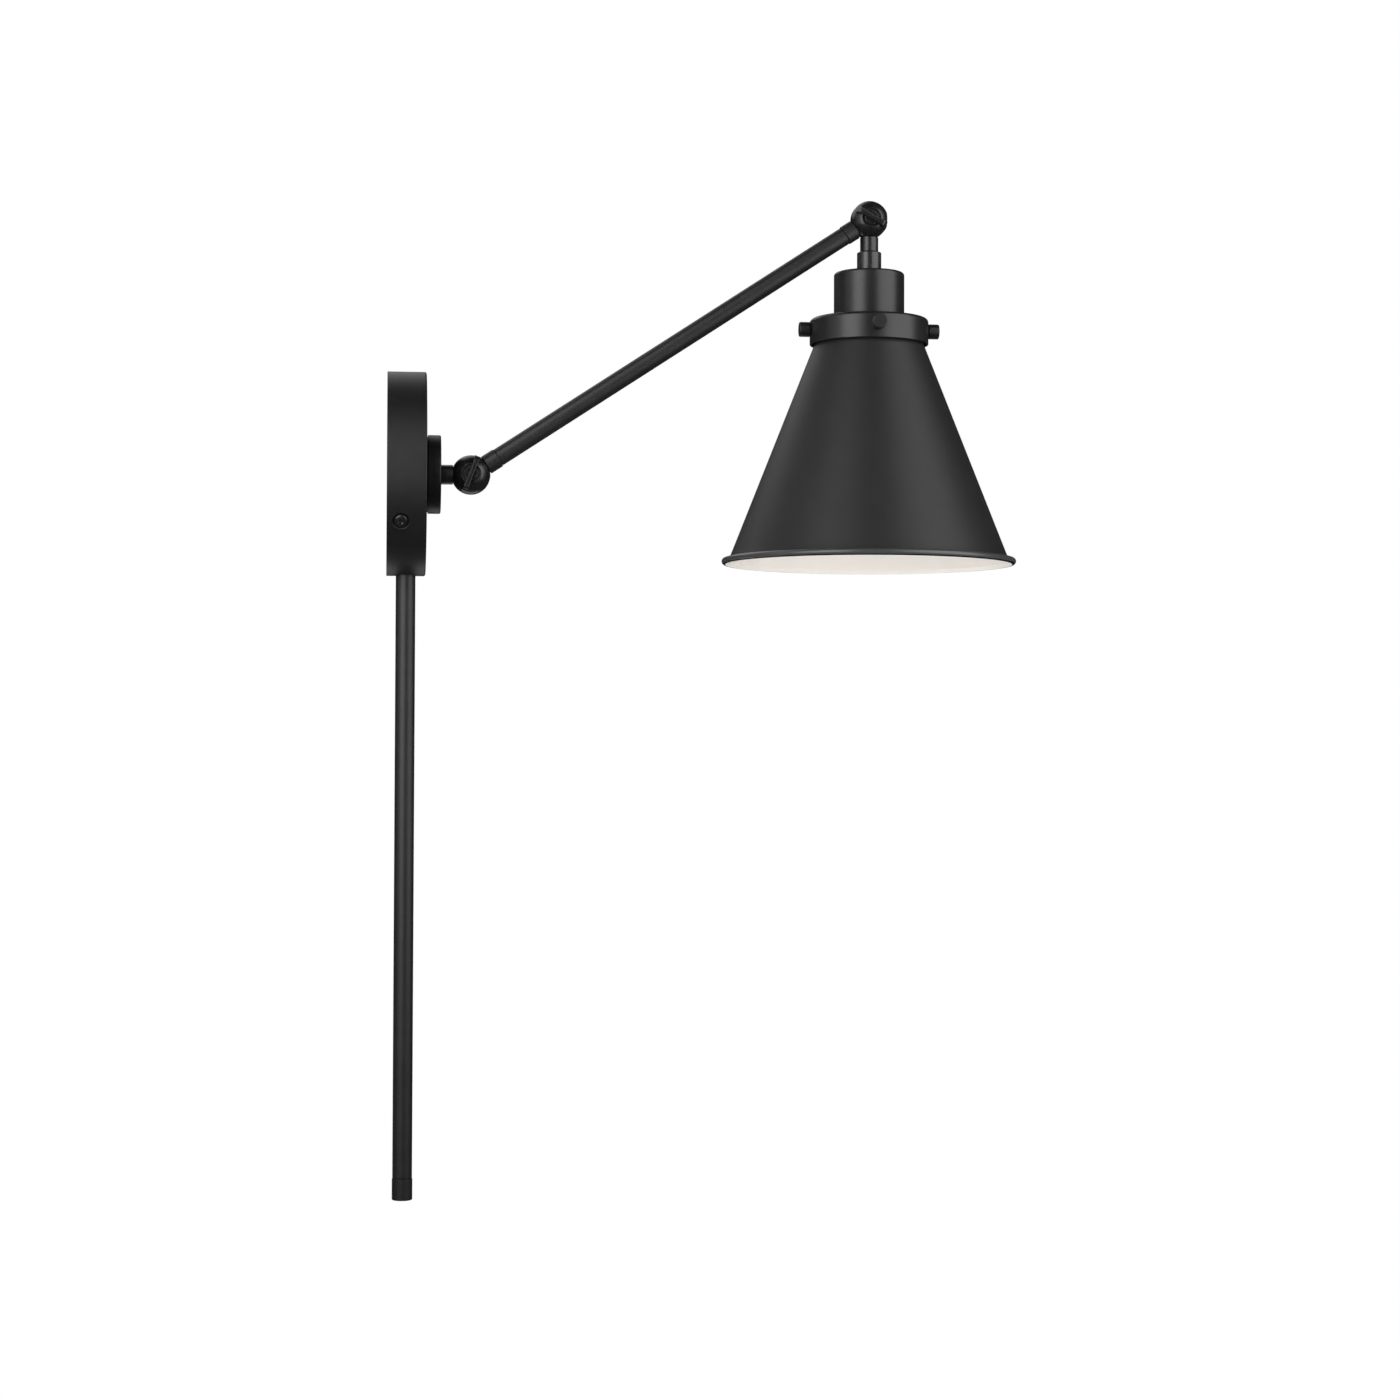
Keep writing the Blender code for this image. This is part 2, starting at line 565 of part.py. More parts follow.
def lower_knuckle(frame):
    """The stem turns in the boss and ends in the lower ball."""
    shoulder = -(LOWER_PIVOT.x - BOSS_FRONT_X - GAP)
    end = -(LOWER_PIVOT.x - SWIVEL_SPIGOT_END_X)
    stem = [(STEM_R, shoulder), (SWIVEL_SPIGOT_R, shoulder), (SWIVEL_SPIGOT_R, end),
            (WIRE_BORE_R, end), (WIRE_BORE_R, -5 * MM), (0, -5 * MM)]
    slotted_ball("lower_knuckle", LOWER_BALL_R, stem, satin_black("lower ball black"), ALONG_X, frame)
    canopy_inside = CANOPY_DEPTH - CANOPY_WALL
    washer_back = canopy_inside - GAP - 1.2 * MM
    ring("swivel_washer", SWIVEL_SPIGOT_R + GAP, 8.5 * MM, washer_back, canopy_inside - GAP,
         zinc("swivel washer zinc"), rotation=ALONG_X)
    hex_nut("swivel_nut", 8.1 * MM, SWIVEL_SPIGOT_R + GAP, washer_back - GAP - 5 * MM,
            washer_back - GAP, rotation=ALONG_X)
    friction_washers("lower", frame)


def tongue(name, ball_r, far, frame, rotation):
    """Flat tongue on the pivot, its coupler ring and the spigot inside the arm tube.

    The coupler's near end is hollowed to follow the ball.
    """
    near = ball_r + COUPLER_CLEARANCE
    rim_angle = math.degrees(math.acos(COUPLER_R / near))
    end = far + SPIGOT_LENGTH
    outline = arc((0, 0), near, 90, rim_angle, 4)
    outline[0] = (0, near)
    outline += [(COUPLER_R, far - 0.3 * MM), (COUPLER_R - 0.3 * MM, far), (SPIGOT_R, far),
                (SPIGOT_R, end), (WIRE_BORE_R, end), (WIRE_BORE_R, near + 2 * MM),
                (0, near + 2 * MM)]
    piece = lathe(name, outline, satin_black(f"{name} black"), SIDES_MEDIUM, parent=frame,
                  rotation=rotation)
    half_angle = math.degrees(math.asin(TONGUE_BAR_HALF / TONGUE_R))
    flat = arc((0, 0), TONGUE_R, 90 + half_angle, 450 - half_angle, 20)
    flat += [(TONGUE_BAR_HALF, near + 1 * MM), (-TONGUE_BAR_HALF, near + 1 * MM)]
    join(piece, extruded(f"{name} flat", flat, TONGUE_HALF, None, parent=frame, rotation=rotation))
    cut(piece, rod(f"{name} pivot hole", PIVOT_HOLE_R, -10 * MM, 10 * MM, None, SIDES_SMALL,
                   parent=frame, rotation=ALONG_MINUS_Y))
    return piece


def arm(frame, length):
    """Straight tube between the two tongues, laid along the frame's own +X."""
    tongue("lower_tongue", LOWER_BALL_R, LOWER_COUPLER_FAR, frame, ALONG_X)
    start = LOWER_COUPLER_FAR + GAP
    end = length - UPPER_COUPLER_FAR - GAP
    ring("arm_tube", ARM_BORE_R, ARM_TUBE_R, start, end, satin_black("arm black"), SIDES_MEDIUM,
         parent=frame, rotation=ALONG_X)
    cable_start = LOWER_BALL_R + COUPLER_CLEARANCE + 2.5 * MM
    cable_end = length - UPPER_BALL_R - COUPLER_CLEARANCE - 2.5 * MM
    rod("arm_cable", ARM_CABLE_R, cable_start, cable_end,
        material("cable jacket", (0.03, 0.03, 0.03), 0.6), SIDES_SMALL, parent=frame,
        rotation=ALONG_X)
    far_end = body_frame("arm far end", (length, 0, 0), parent=frame)
    upper = tongue("upper_tongue", UPPER_BALL_R, UPPER_COUPLER_FAR, far_end, ALONG_MINUS_X)
    cut(upper, block("neck relief", (-COUPLER_RELIEF, -10 * MM, -10 * MM),
                     (-8 * MM, 10 * MM, -TONGUE_BAR_HALF - GAP), None, parent=far_end))


def upper_knuckle(frame):
    """The upper ball, its neck and the spigot that the shade assembly turns on."""
    neck_end = NECK_BOTTOM_Z - UPPER_PIVOT.z
    spigot_end = NECK_SPIGOT_END_Z - UPPER_PIVOT.z
    neck = [(NECK_R, neck_end), (SPIGOT_R, neck_end), (SPIGOT_R, spigot_end),
            (WIRE_BORE_R, spigot_end), (WIRE_BORE_R, -5 * MM), (0, -5 * MM)]
    slotted_ball("upper_knuckle", UPPER_BALL_R, neck, satin_black("upper ball black"), UPRIGHT, frame,
                 flat=UPPER_BALL_FLAT)
    cup_inside = CUP_TOP_Z - CUP_WALL - UPPER_PIVOT.z
    washer_low = cup_inside - GAP - 1.2 * MM
    ring("neck_washer", SPIGOT_R + GAP, 8.0 * MM, washer_low, cup_inside - GAP,
         zinc("neck washer zinc"), parent=frame)
    hex_nut("neck_nut", 6.9 * MM, SPIGOT_R + GAP, washer_low - GAP - 4.8 * MM, washer_low - GAP,
            parent=frame)
    friction_washers("upper", frame)


# ---------------------------------------------------------------- head

def coupling(frame):
    """Short thick sleeve between the neck and the socket cup."""
    low = CUP_TOP_Z + GAP
    high = NECK_BOTTOM_Z - GAP
    bore = SPIGOT_R + GAP
    outline = [(bore, low), (COUPLING_R, low), (COUPLING_R, high - 0.8 * MM),
               (COUPLING_R - 0.8 * MM, high), (bore, high)]
    lathe("neck_coupling", outline, satin_black("coupling black"), SIDES_MEDIUM, parent=frame)


def socket_cup(frame):
    """Drawn cup round the lampholder, with a threaded spigot through the collar."""
    inner_r = CUP_R - CUP_WALL
    bore = SPIGOT_R + GAP
    seat = COLLAR_TOP_Z + GAP
    outline = [(bore, CUP_TOP_Z)]
    outline += arc((CUP_R - 2.0 * MM, CUP_TOP_Z - 2.0 * MM), 2.0 * MM, 90, 0, 4)
    outline += [(CUP_R, seat), (CUP_SPIGOT_R, seat), (CUP_SPIGOT_R, CUP_SPIGOT_END_Z),
                (CUP_SPIGOT_BORE_R, CUP_SPIGOT_END_Z), (CUP_SPIGOT_BORE_R, seat + CUP_WALL),
                (inner_r, seat + CUP_WALL)]
    outline += arc((inner_r - 1.0 * MM, CUP_TOP_Z - CUP_WALL - 1.0 * MM), 1.0 * MM, 0, 90, 2)
    outline += [(bore, CUP_TOP_Z - CUP_WALL)]
    lathe("socket_cup", outline, satin_black("cup black"), SIDES_LARGE, parent=frame)
    ring("collar_lock_ring", CUP_SPIGOT_R + GAP, 25.5 * MM, 98.2 * MM,
         COLLAR_TOP_Z - COLLAR_PLATE_T - GAP, zinc("lock ring zinc"), SIDES_MEDIUM, parent=frame)


def thumbscrew_places():
    """Name and outward direction of each thumbscrew round the collar."""
    names = ("outer", "far", "inner", "near")
    for name, quarter in zip(names, range(4)):
        angle = quarter * math.pi / 2
        yield name, Vector((math.cos(angle), math.sin(angle), 0.0))


def shade_collar(frame):
    """Ring that the shade's neck goes up into, with a tapped hole on each side."""
    edge_r = 2.6 * MM
    inner_r = COLLAR_R - COLLAR_WALL
    bore = CUP_SPIGOT_R + GAP
    underside = COLLAR_TOP_Z - COLLAR_PLATE_T
    outline = [(bore, COLLAR_TOP_Z)]
    outline += arc((COLLAR_R - edge_r, COLLAR_TOP_Z - edge_r), edge_r, 90, 0, 4)
    outline += [(COLLAR_R, COLLAR_BOTTOM_Z), (inner_r, COLLAR_BOTTOM_Z)]
    outline += arc((inner_r - 1.3 * MM, underside - 1.3 * MM), 1.3 * MM, 0, 90, 2)
    outline += [(bore, underside)]
    collar = lathe("shade_collar", outline, satin_black("collar black"), SIDES_LARGE, parent=frame)
    for name, outward in thumbscrew_places():
        cut(collar, rod(f"collar hole {name}", THUMBSCREW_SHANK_R + GAP, 30 * MM, 45 * MM, None,
                        SIDES_SMALL, parent=frame, location=(0, 0, THUMBSCREW_Z),
                        rotation=outward.to_track_quat('Z', 'Y').to_euler()))


def thumbscrews(frame):
    """Screws whose tips hold the shade's neck below its lip."""
    tip = SHADE_NECK_R + GAP
    base = COLLAR_R + 0.4 * MM
    top = base + THUMBSCREW_HEAD_LENGTH
    bevel = 0.5 * MM
    outline = [(0, tip), (THUMBSCREW_SHANK_R, tip), (THUMBSCREW_SHANK_R, base),
               (THUMBSCREW_HEAD_R, base), (THUMBSCREW_HEAD_R, top - bevel),
               (THUMBSCREW_HEAD_R - bevel, top), (0, top)]
    for name, outward in thumbscrew_places():
        lathe(f"thumbscrew_{name}", outline, satin_black(f"thumbscrew black {name}"), SIDES_SMALL,
              parent=frame, location=(0, 0, THUMBSCREW_Z),
              rotation=outward.to_track_quat('Z', 'Y').to_euler())


def shade_profile():
    """Outer outline from the neck's lip down to the rim's rolled bead."""
    cone_bottom_r = SHADE_CONE_TOP_R + SHADE_SLOPE * (SHADE_CONE_TOP_Z - SHADE_CONE_BOTTOM_Z)
    start = Vector((cone_bottom_r, SHADE_CONE_BOTTOM_Z))
    corner = start + Vector((SHADE_SLOPE, -1.0)) * 5.3 * MM
    join_angle = 150
    bead = arc((BEAD_CENTRE_R, BEAD_CENTRE_Z), BEAD_R, join_angle, -150, 12)
    finish = Vector(bead[0])
    flare = []
    for step in range(1, 4):
        t = step / 4
        flare.append(tuple(start * (1 - t) ** 2 + corner * 2 * t * (1 - t) + finish * t * t))
    lip_bottom = SHADE_NECK_TOP_Z - 1.3 * MM
    outer = [(SHADE_LIP_R, SHADE_NECK_TOP_Z), (SHADE_LIP_R, lip_bottom), (SHADE_NECK_R, lip_bottom),
             (SHADE_NECK_R, SHADE_CONE_TOP_Z + 0.6 * MM), (SHADE_CONE_TOP_R, SHADE_CONE_TOP_Z),
             tuple(start)]
    return outer + flare, bead


def shade(frame):
    """Spun cone shade: a lipped neck, a straight cone and a flared rim with a rolled bead."""
    outer, bead = shade_profile()
    slant = SHADE_T * math.hypot(1.0, SHADE_SLOPE)
    flare_start = outer[5]
    inner = [(flare_start[0] + 2.6 * MM, flare_start[1] - 5.2 * MM),
             (flare_start[0] + 0.6 * MM - slant, flare_start[1] - 1.5 * MM),
             (SHADE_CONE_TOP_R - slant, SHADE_CONE_TOP_Z),
             (SHADE_NECK_R - SHADE_T, SHADE_CONE_TOP_Z + 1 * MM),
             (SHADE_NECK_R - SHADE_T, SHADE_NECK_TOP_Z)]
    lathe("shade", outer + bead + inner, satin_black("shade black"), SIDES_LARGE, parent=frame)


def lampholder(frame):
    """Bracket across the cup, insulating body, screw shell and centre contact."""
    bracket_low = HOLDER_TOP_Z + GAP
    bracket = ring("lampholder_bracket", 7.5 * MM, CUP_R - CUP_WALL - 0.4 * MM, bracket_low,
                   bracket_low + 1.5 * MM, zinc("bracket zinc"), SIDES_MEDIUM, parent=frame)
    outline = [(0, HOLDER_TOP_Z), (HOLDER_R - 1.0 * MM, HOLDER_TOP_Z),
               (HOLDER_R, HOLDER_TOP_Z - 1.0 * MM), (HOLDER_R, HOLDER_BOTTOM_Z),
               (HOLDER_CAVITY_R, HOLDER_BOTTOM_Z), (HOLDER_CAVITY_R, HOLDER_CAVITY_TOP_Z),
               (0, HOLDER_CAVITY_TOP_Z)]
    body = lathe("lampholder_body", outline, material("phenolic", (0.04, 0.035, 0.03), 0.35),
                 SIDES_MEDIUM, parent=frame)
    shell_top = HOLDER_CAVITY_TOP_Z - GAP
    shell_in = SHELL_R - 0.7 * MM
    shell = [(SHELL_R, HOLDER_BOTTOM_Z + 4 * MM), (SHELL_R, shell_top), (6.0 * MM, shell_top),
             (6.0 * MM, shell_top - 0.7 * MM), (shell_in, shell_top - 0.7 * MM),
             (shell_in, HOLDER_BOTTOM_Z + 4 * MM)]
    lathe("lampholder_screw_shell", shell, brass("shell brass"), SIDES_MEDIUM, parent=frame)
    rod("lampholder_contact", 3.5 * MM, shell_top - 1.7 * MM, shell_top, brass("contact brass"),
        parent=frame)
    screw_top = bracket_low + 1.5 * MM + GAP
    screw = [(0, 112 * MM), (1.4 * MM, 112 * MM), (1.4 * MM, screw_top), (2.6 * MM, screw_top),
             (2.6 * MM, screw_top + 1.2 * MM), (1.8 * MM, screw_top + 1.8 * MM),
             (0, screw_top + 1.8 * MM)]
    for label, x in (("outer", 11.5 * MM), ("inner", -11.5 * MM)):
        lathe(f"lampholder_screw_{label}", screw, zinc(f"holder screw zinc {label}"), SIDES_SMALL,
              parent=frame, location=(x, 0, 0))
        for piece in (bracket, body):
            cut(piece, rod(f"{piece.name} hole {label}", 1.7 * MM, 111.6 * MM, 120 * MM, None,
                           parent=frame, location=(x, 0, 0)))
    for (label, colour), side in zip({"live": (0.02, 0.02, 0.02), "neutral": (0.8, 0.8, 0.78)}.items(),
                                     (-1.0, 1.0)):
        route = [(0.0, 5.4, 115.0), (0.0, 5.4, 117.5), (0.0, 3.2, 120.2), (0.0, 1.3, 122.5)]
        points = [(UPPER_PIVOT.x + x * MM, side * y * MM, z * MM) for x, y, z in route]
        wire(f"{label}_socket_lead", points, 0.9 * MM,
             material(f"{label} socket insulation", colour, 0.45))


def bulb(frame):
    """Screw cap and open-necked glass envelope."""
    cap_low = 81.0 * MM
    cap_top = 104.0 * MM
    cap_in = BULB_CAP_R - 0.5 * MM
    cap = [(BULB_CAP_R, cap_low), (BULB_CAP_R, cap_top - 2 * MM), (8.0 * MM, cap_top),
           (4.6 * MM, cap_top), (3.0 * MM, cap_top + 2.4 * MM), (0, cap_top + 3.2 * MM),
           (0, cap_top - 1.0 * MM), (7.0 * MM, cap_top - 1.0 * MM), (cap_in, cap_top - 3 * MM),
           (cap_in, cap_low)]
    lathe("bulb_cap", cap, material("cap nickel", (0.6, 0.6, 0.58), 0.3, 1.0), SIDES_MEDIUM,
          parent=frame)
    shoulder = 28.0
    outer = [(BULB_NECK_R, 93.0 * MM), (BULB_NECK_R, 80.0 * MM), (14.6 * MM, 70.0 * MM),
             (19.6 * MM, 58.5 * MM)]
    outer += arc((0, BULB_CENTRE_Z), BULB_R, shoulder, -90, 12)[:-1]
    outer += [(0, BULB_CENTRE_Z - BULB_R)]
    inner_r = BULB_R - BULB_GLASS_T
    inner = [(0, BULB_CENTRE_Z - inner_r)] + arc((0, BULB_CENTRE_Z), inner_r, -90, shoulder, 12)[1:]
    inner += [(18.8 * MM, 58.2 * MM), (13.8 * MM, 69.8 * MM),
              (BULB_NECK_R - BULB_GLASS_T, 80.0 * MM), (BULB_NECK_R - BULB_GLASS_T, 93.0 * MM)]
    lathe("bulb_glass", outer + inner, material("bulb glass", (0.92, 0.91, 0.88), 0.25),
          SIDES_MEDIUM, parent=frame)


def main():
    clear_scene()
    wall_plate()
    ground_screw()
    canopy()
    canopy_screws()
    swivel_boss()
    boss_screws()
    cord_cover()
    canopy_wiring()

    reach = UPPER_PIVOT - LOWER_PIVOT
    arm_angle = math.atan2(reach.z, reach.x)
    lower_frame = body_frame("lower pivot frame", LOWER_PIVOT)
    arm_frame = body_frame("arm frame", LOWER_PIVOT, rotation=(0.0, -arm_angle, 0.0))
    upper_frame = body_frame("upper pivot frame", UPPER_PIVOT)
    head_frame = body_frame("head axis frame", (UPPER_PIVOT.x, 0.0, 0.0))

    lower_knuckle(lower_frame)
    winged_key("lower", LOWER_BALL_R, LOWER_KEY_HALF_LENGTH, LOWER_KEY_ANGLE, lower_frame)
    arm(arm_frame, reach.length)
    upper_knuckle(upper_frame)
    winged_key("upper", UPPER_BALL_R, UPPER_KEY_HALF_LENGTH, UPPER_KEY_ANGLE, upper_frame)

    coupling(head_frame)
    socket_cup(head_frame)
    shade_collar(head_frame)
    thumbscrews(head_frame)
    shade(head_frame)
    lampholder(head_frame)
    bulb(head_frame)
    bpy.context.view_layer.update()


main()
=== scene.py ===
"""Looks of the swing arm wall sconce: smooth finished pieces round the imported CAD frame.

Sizes and places are in millimetres in the row frame, and become metres as each mesh is made.
Outlines are (radius, height) points turned about an axis, with a fillet radius on each corner
that has one. Lights and the camera are in metres.
"""

import json
import math

import bmesh
import bpy
from mathutils import Matrix, Vector


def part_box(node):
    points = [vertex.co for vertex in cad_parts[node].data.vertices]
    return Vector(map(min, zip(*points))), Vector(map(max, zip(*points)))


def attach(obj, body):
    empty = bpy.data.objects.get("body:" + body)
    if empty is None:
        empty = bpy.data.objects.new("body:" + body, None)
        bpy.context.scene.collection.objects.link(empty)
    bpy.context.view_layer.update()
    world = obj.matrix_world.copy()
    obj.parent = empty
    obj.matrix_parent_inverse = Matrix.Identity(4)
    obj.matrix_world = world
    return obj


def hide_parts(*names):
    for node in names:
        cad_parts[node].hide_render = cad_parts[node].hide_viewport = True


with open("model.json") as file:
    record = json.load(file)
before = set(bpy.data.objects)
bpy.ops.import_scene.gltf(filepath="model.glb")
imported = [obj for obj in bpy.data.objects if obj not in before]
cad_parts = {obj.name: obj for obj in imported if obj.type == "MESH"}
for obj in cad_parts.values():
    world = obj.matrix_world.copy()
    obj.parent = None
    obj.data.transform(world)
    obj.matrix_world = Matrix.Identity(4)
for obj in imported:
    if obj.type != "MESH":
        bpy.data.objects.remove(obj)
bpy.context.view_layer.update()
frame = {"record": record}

MM = 0.001
ORIGIN = Vector((0.0, 0.0, 0.0))

# Clearance that the CAD leaves between neighbouring pieces
GAP = 0.3

# Sides of a round, by size
LARGE = 192
MEDIUM = 96
SMALL = 64

# Directions that a piece's own +Z can be laid along
OUT_OF_WALL = Vector((1.0, 0.0, 0.0))
UP = Vector((0.0, 0.0, 1.0))
NEAR = Vector((0.0, -1.0, 0.0))


# ---- the frame's facts

def joint(name):
    """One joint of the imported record."""
    for entry in frame["record"]["behaviour"]["joints"]:
        if entry["name"] == name:
            return entry
    raise KeyError(name)


BODY_OF = {node: body for body, nodes in frame["record"]["behaviour"]["bodies"].items() for node in nodes}


def low(node):
    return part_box(node)[0] / MM


def high(node):
    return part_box(node)[1] / MM


def laid(node):
    """Middle of a CAD node's box."""
    return (low(node) + high(node)) / 2


LOWER_PIVOT = Vector(joint("arm_tilt")["pos_m"]) / MM
UPPER_PIVOT = Vector(joint("head_tilt")["pos_m"]) / MM
HEAD_AXIS = Vector((UPPER_PIVOT.x, 0.0, 0.0))
ARM_DIRECTION = (UPPER_PIVOT - LOWER_PIVOT).normalized()
ARM_LENGTH = (UPPER_PIVOT - LOWER_PIVOT).length


# ---- mesh tools

def rounded(corners):
    """Open or closed outline with a fillet at each corner given as (radius, height, fillet)."""
    points = []
    count = len(corners)
    for index, corner in enumerate(corners):
        here = Vector(corner[:2])
        fillet = corner[2] if len(corner) > 2 else 0.0
        if fillet <= 0.0:
            points.append(tuple(corner[:2]))
            continue
        before = (Vector(corners[index - 1][:2]) - here).normalized()
        after = (Vector(corners[(index + 1) % count][:2]) - here).normalized()
        half = before.angle(after) / 2
        reach = fillet / math.tan(half)
        centre = here + (before + after).normalized() * (fillet / math.sin(half))
        start = here + before * reach - centre
        turn = (here + after * reach - centre).angle_signed(start)
        steps = max(3, round(abs(math.degrees(turn)) / 15))
        for step in range(steps + 1):
            spin = Matrix.Rotation(turn * step / steps, 2)
            points.append(tuple(centre + spin @ start))
    return points


def arc(centre, radius, start, end, steps):
    """Points on an arc, angles in degrees."""
    points = []
    for step in range(steps + 1):
        angle = math.radians(start + (end - start) * step / steps)
        points.append((centre[0] + radius * math.cos(angle), centre[1] + radius * math.sin(angle)))
    return points


def moved(x=0.0, y=0.0, z=0.0):
    return Matrix.Translation((x * MM, y * MM, z * MM))


def facing(side, direction):
    """Matrix that turns a piece's own +X to one direction and its +Z to another."""
    return Matrix((side, direction.cross(side), direction)).transposed().to_4x4()


def lay_along(direction, at=ORIGIN):
    """Matrix that puts a piece's own origin at a point and its +Z along a direction."""
    if direction == UP:
        return moved(*at)
    side = direction.cross(Vector((0.0, 1.0, 0.0)))
    if side.length < 1e-6:
        side = OUT_OF_WALL.copy()
    side.normalize()
    return moved(*at) @ facing(side, direction)


def linked(name, data):
    """New object in the scene."""
    obj = bpy.data.objects.new(name, data)
    bpy.context.scene.collection.objects.link(obj)
    return obj


def finished(name, bm, materials, place=None, sharp=40):
    """Make the object, with smooth shading broken only at edges sharper than the angle."""
    bmesh.ops.remove_doubles(bm, verts=bm.verts, dist=1e-7)
    bmesh.ops.recalc_face_normals(bm, faces=bm.faces)
    if place is not None:
        bm.transform(place)
    mark_edges(bm, sharp)
    mesh = bpy.data.meshes.new(name)
    bm.to_mesh(mesh)
    bm.free()
    for mat in materials:
        mesh.materials.append(mat)
    obj = linked(name, mesh)
    even = obj.modifiers.new("Even shading", 'WEIGHTED_NORMAL')
    even.keep_sharp = True
    return obj


def mark_edges(bm, sharp):
    """Smooth faces, with the edges over the angle kept crisp."""
    limit = math.radians(sharp)
    for face in bm.faces:
        face.smooth = True
    for edge in bm.edges:
        if len(edge.link_faces) == 2:
            edge.smooth = edge.calc_face_angle() < limit


def turned(name, outline, materials, place=None, sides=MEDIUM, warp=None, paint=None):
    """Turn a closed outline about the piece's own Z.

    warp(radius, height, angle) gives a changed (radius, height). paint(index) is the number
    of the material on that edge of the outline.
    """
    bm = bmesh.new()
    columns = []
    for turn in range(sides):
        angle = 2 * math.pi * turn / sides
        across, along = math.cos(angle), math.sin(angle)
        column = []
        for radius, height in outline:
            if warp is not None:
                radius, height = warp(radius, height, angle)
            column.append(bm.verts.new((radius * MM * across, radius * MM * along, height * MM)))
        columns.append(column)
    count = len(outline)
    for here, there in zip(columns, columns[1:] + columns[:1]):
        for index in range(count):
            after = (index + 1) % count
            if outline[index][0] == 0.0 and outline[after][0] == 0.0:
                continue
            corners = [here[index], there[index], there[after], here[after]]
            if outline[index][0] == 0.0:
                corners.pop(1)
            elif outline[after][0] == 0.0:
                corners.pop(2)
            face = bm.faces.new(corners)
            if paint is not None:
                face.material_index = paint(index)
    return finished(name, bm, materials, place)


def prism(name, outline, low_y, high_y, materials, place=None, bevel=0.0):
    """Extrude a flat (x, z) outline along the piece's own Y, with rounded edges."""
    bm = bmesh.new()
    face = bm.faces.new([bm.verts.new((x * MM, low_y * MM, z * MM)) for x, z in outline])
    swept = bmesh.ops.extrude_face_region(bm, geom=[face])["geom"]
    top = [item for item in swept if isinstance(item, bmesh.types.BMVert)]
    bmesh.ops.translate(bm, verts=top, vec=(0.0, (high_y - low_y) * MM, 0.0))
    bmesh.ops.recalc_face_normals(bm, faces=bm.faces)
    if bevel > 0.0:
        rim = [edge for edge in bm.edges if edge.calc_face_angle() > math.radians(50)]
        bmesh.ops.bevel(bm, geom=rim, offset=bevel * MM, segments=3, profile=0.5, affect='EDGES',
                        clamp_overlap=True)
    return finished(name, bm, materials, place, sharp=50)


def carve(obj, tools, operation='DIFFERENCE'):
    """Cut tools out of a piece, or join them to it, then mark its crisp edges again."""
    for tool in tools:
        boolean = obj.modifiers.new("Carve", 'BOOLEAN')
        boolean.operation = operation
        boolean.solver = 'EXACT'
        boolean.object = tool
    even = obj.modifiers["Even shading"]
    even.show_viewport = False
    graph = bpy.context.evaluated_depsgraph_get()
    result = bpy.data.meshes.new_from_object(obj.evaluated_get(graph))
    bm = bmesh.new()
    bm.from_mesh(result)
    bmesh.ops.dissolve_degenerate(bm, dist=1e-6, edges=bm.edges)
    mark_edges(bm, 40)
    bm.to_mesh(result)
    bm.free()
    for modifier in [item for item in obj.modifiers if item.type == 'BOOLEAN']:
        obj.modifiers.remove(modifier)
    even.show_viewport = True
    old = obj.data
    obj.data = result
    bpy.data.meshes.remove(old)
    for tool in tools:
        bpy.data.objects.remove(tool, do_unlink=True)
    return obj


def hole_tool(radius, start, end, place):
    """Plain round cutter from one height to another."""
    return turned("hole tool", [(0, start), (radius, start), (radius, end), (0, end)], [], place, SMALL)


def stand_for(obj, node):
    """The piece replaces a CAD node: it rides on the node's body, and the node is hidden."""
    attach(obj, BODY_OF[node])
    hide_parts(node)


def stand_turned(node, label, outline, mat, place, sides=MEDIUM, warp=None):
    """Plain turned piece that stands for a CAD node."""
    stand_for(turned(f"{node}_{label}", outline, [mat], place, sides, warp), node)


def ring(bore, radius, start, end, start_edge, end_edge):
    """Outline of a tube or, with no bore, a disc, with its outer edges rounded."""
    return rounded([(bore, start), (radius, start, start_edge), (radius, end, end_edge), (bore, end)])


# ---- materials

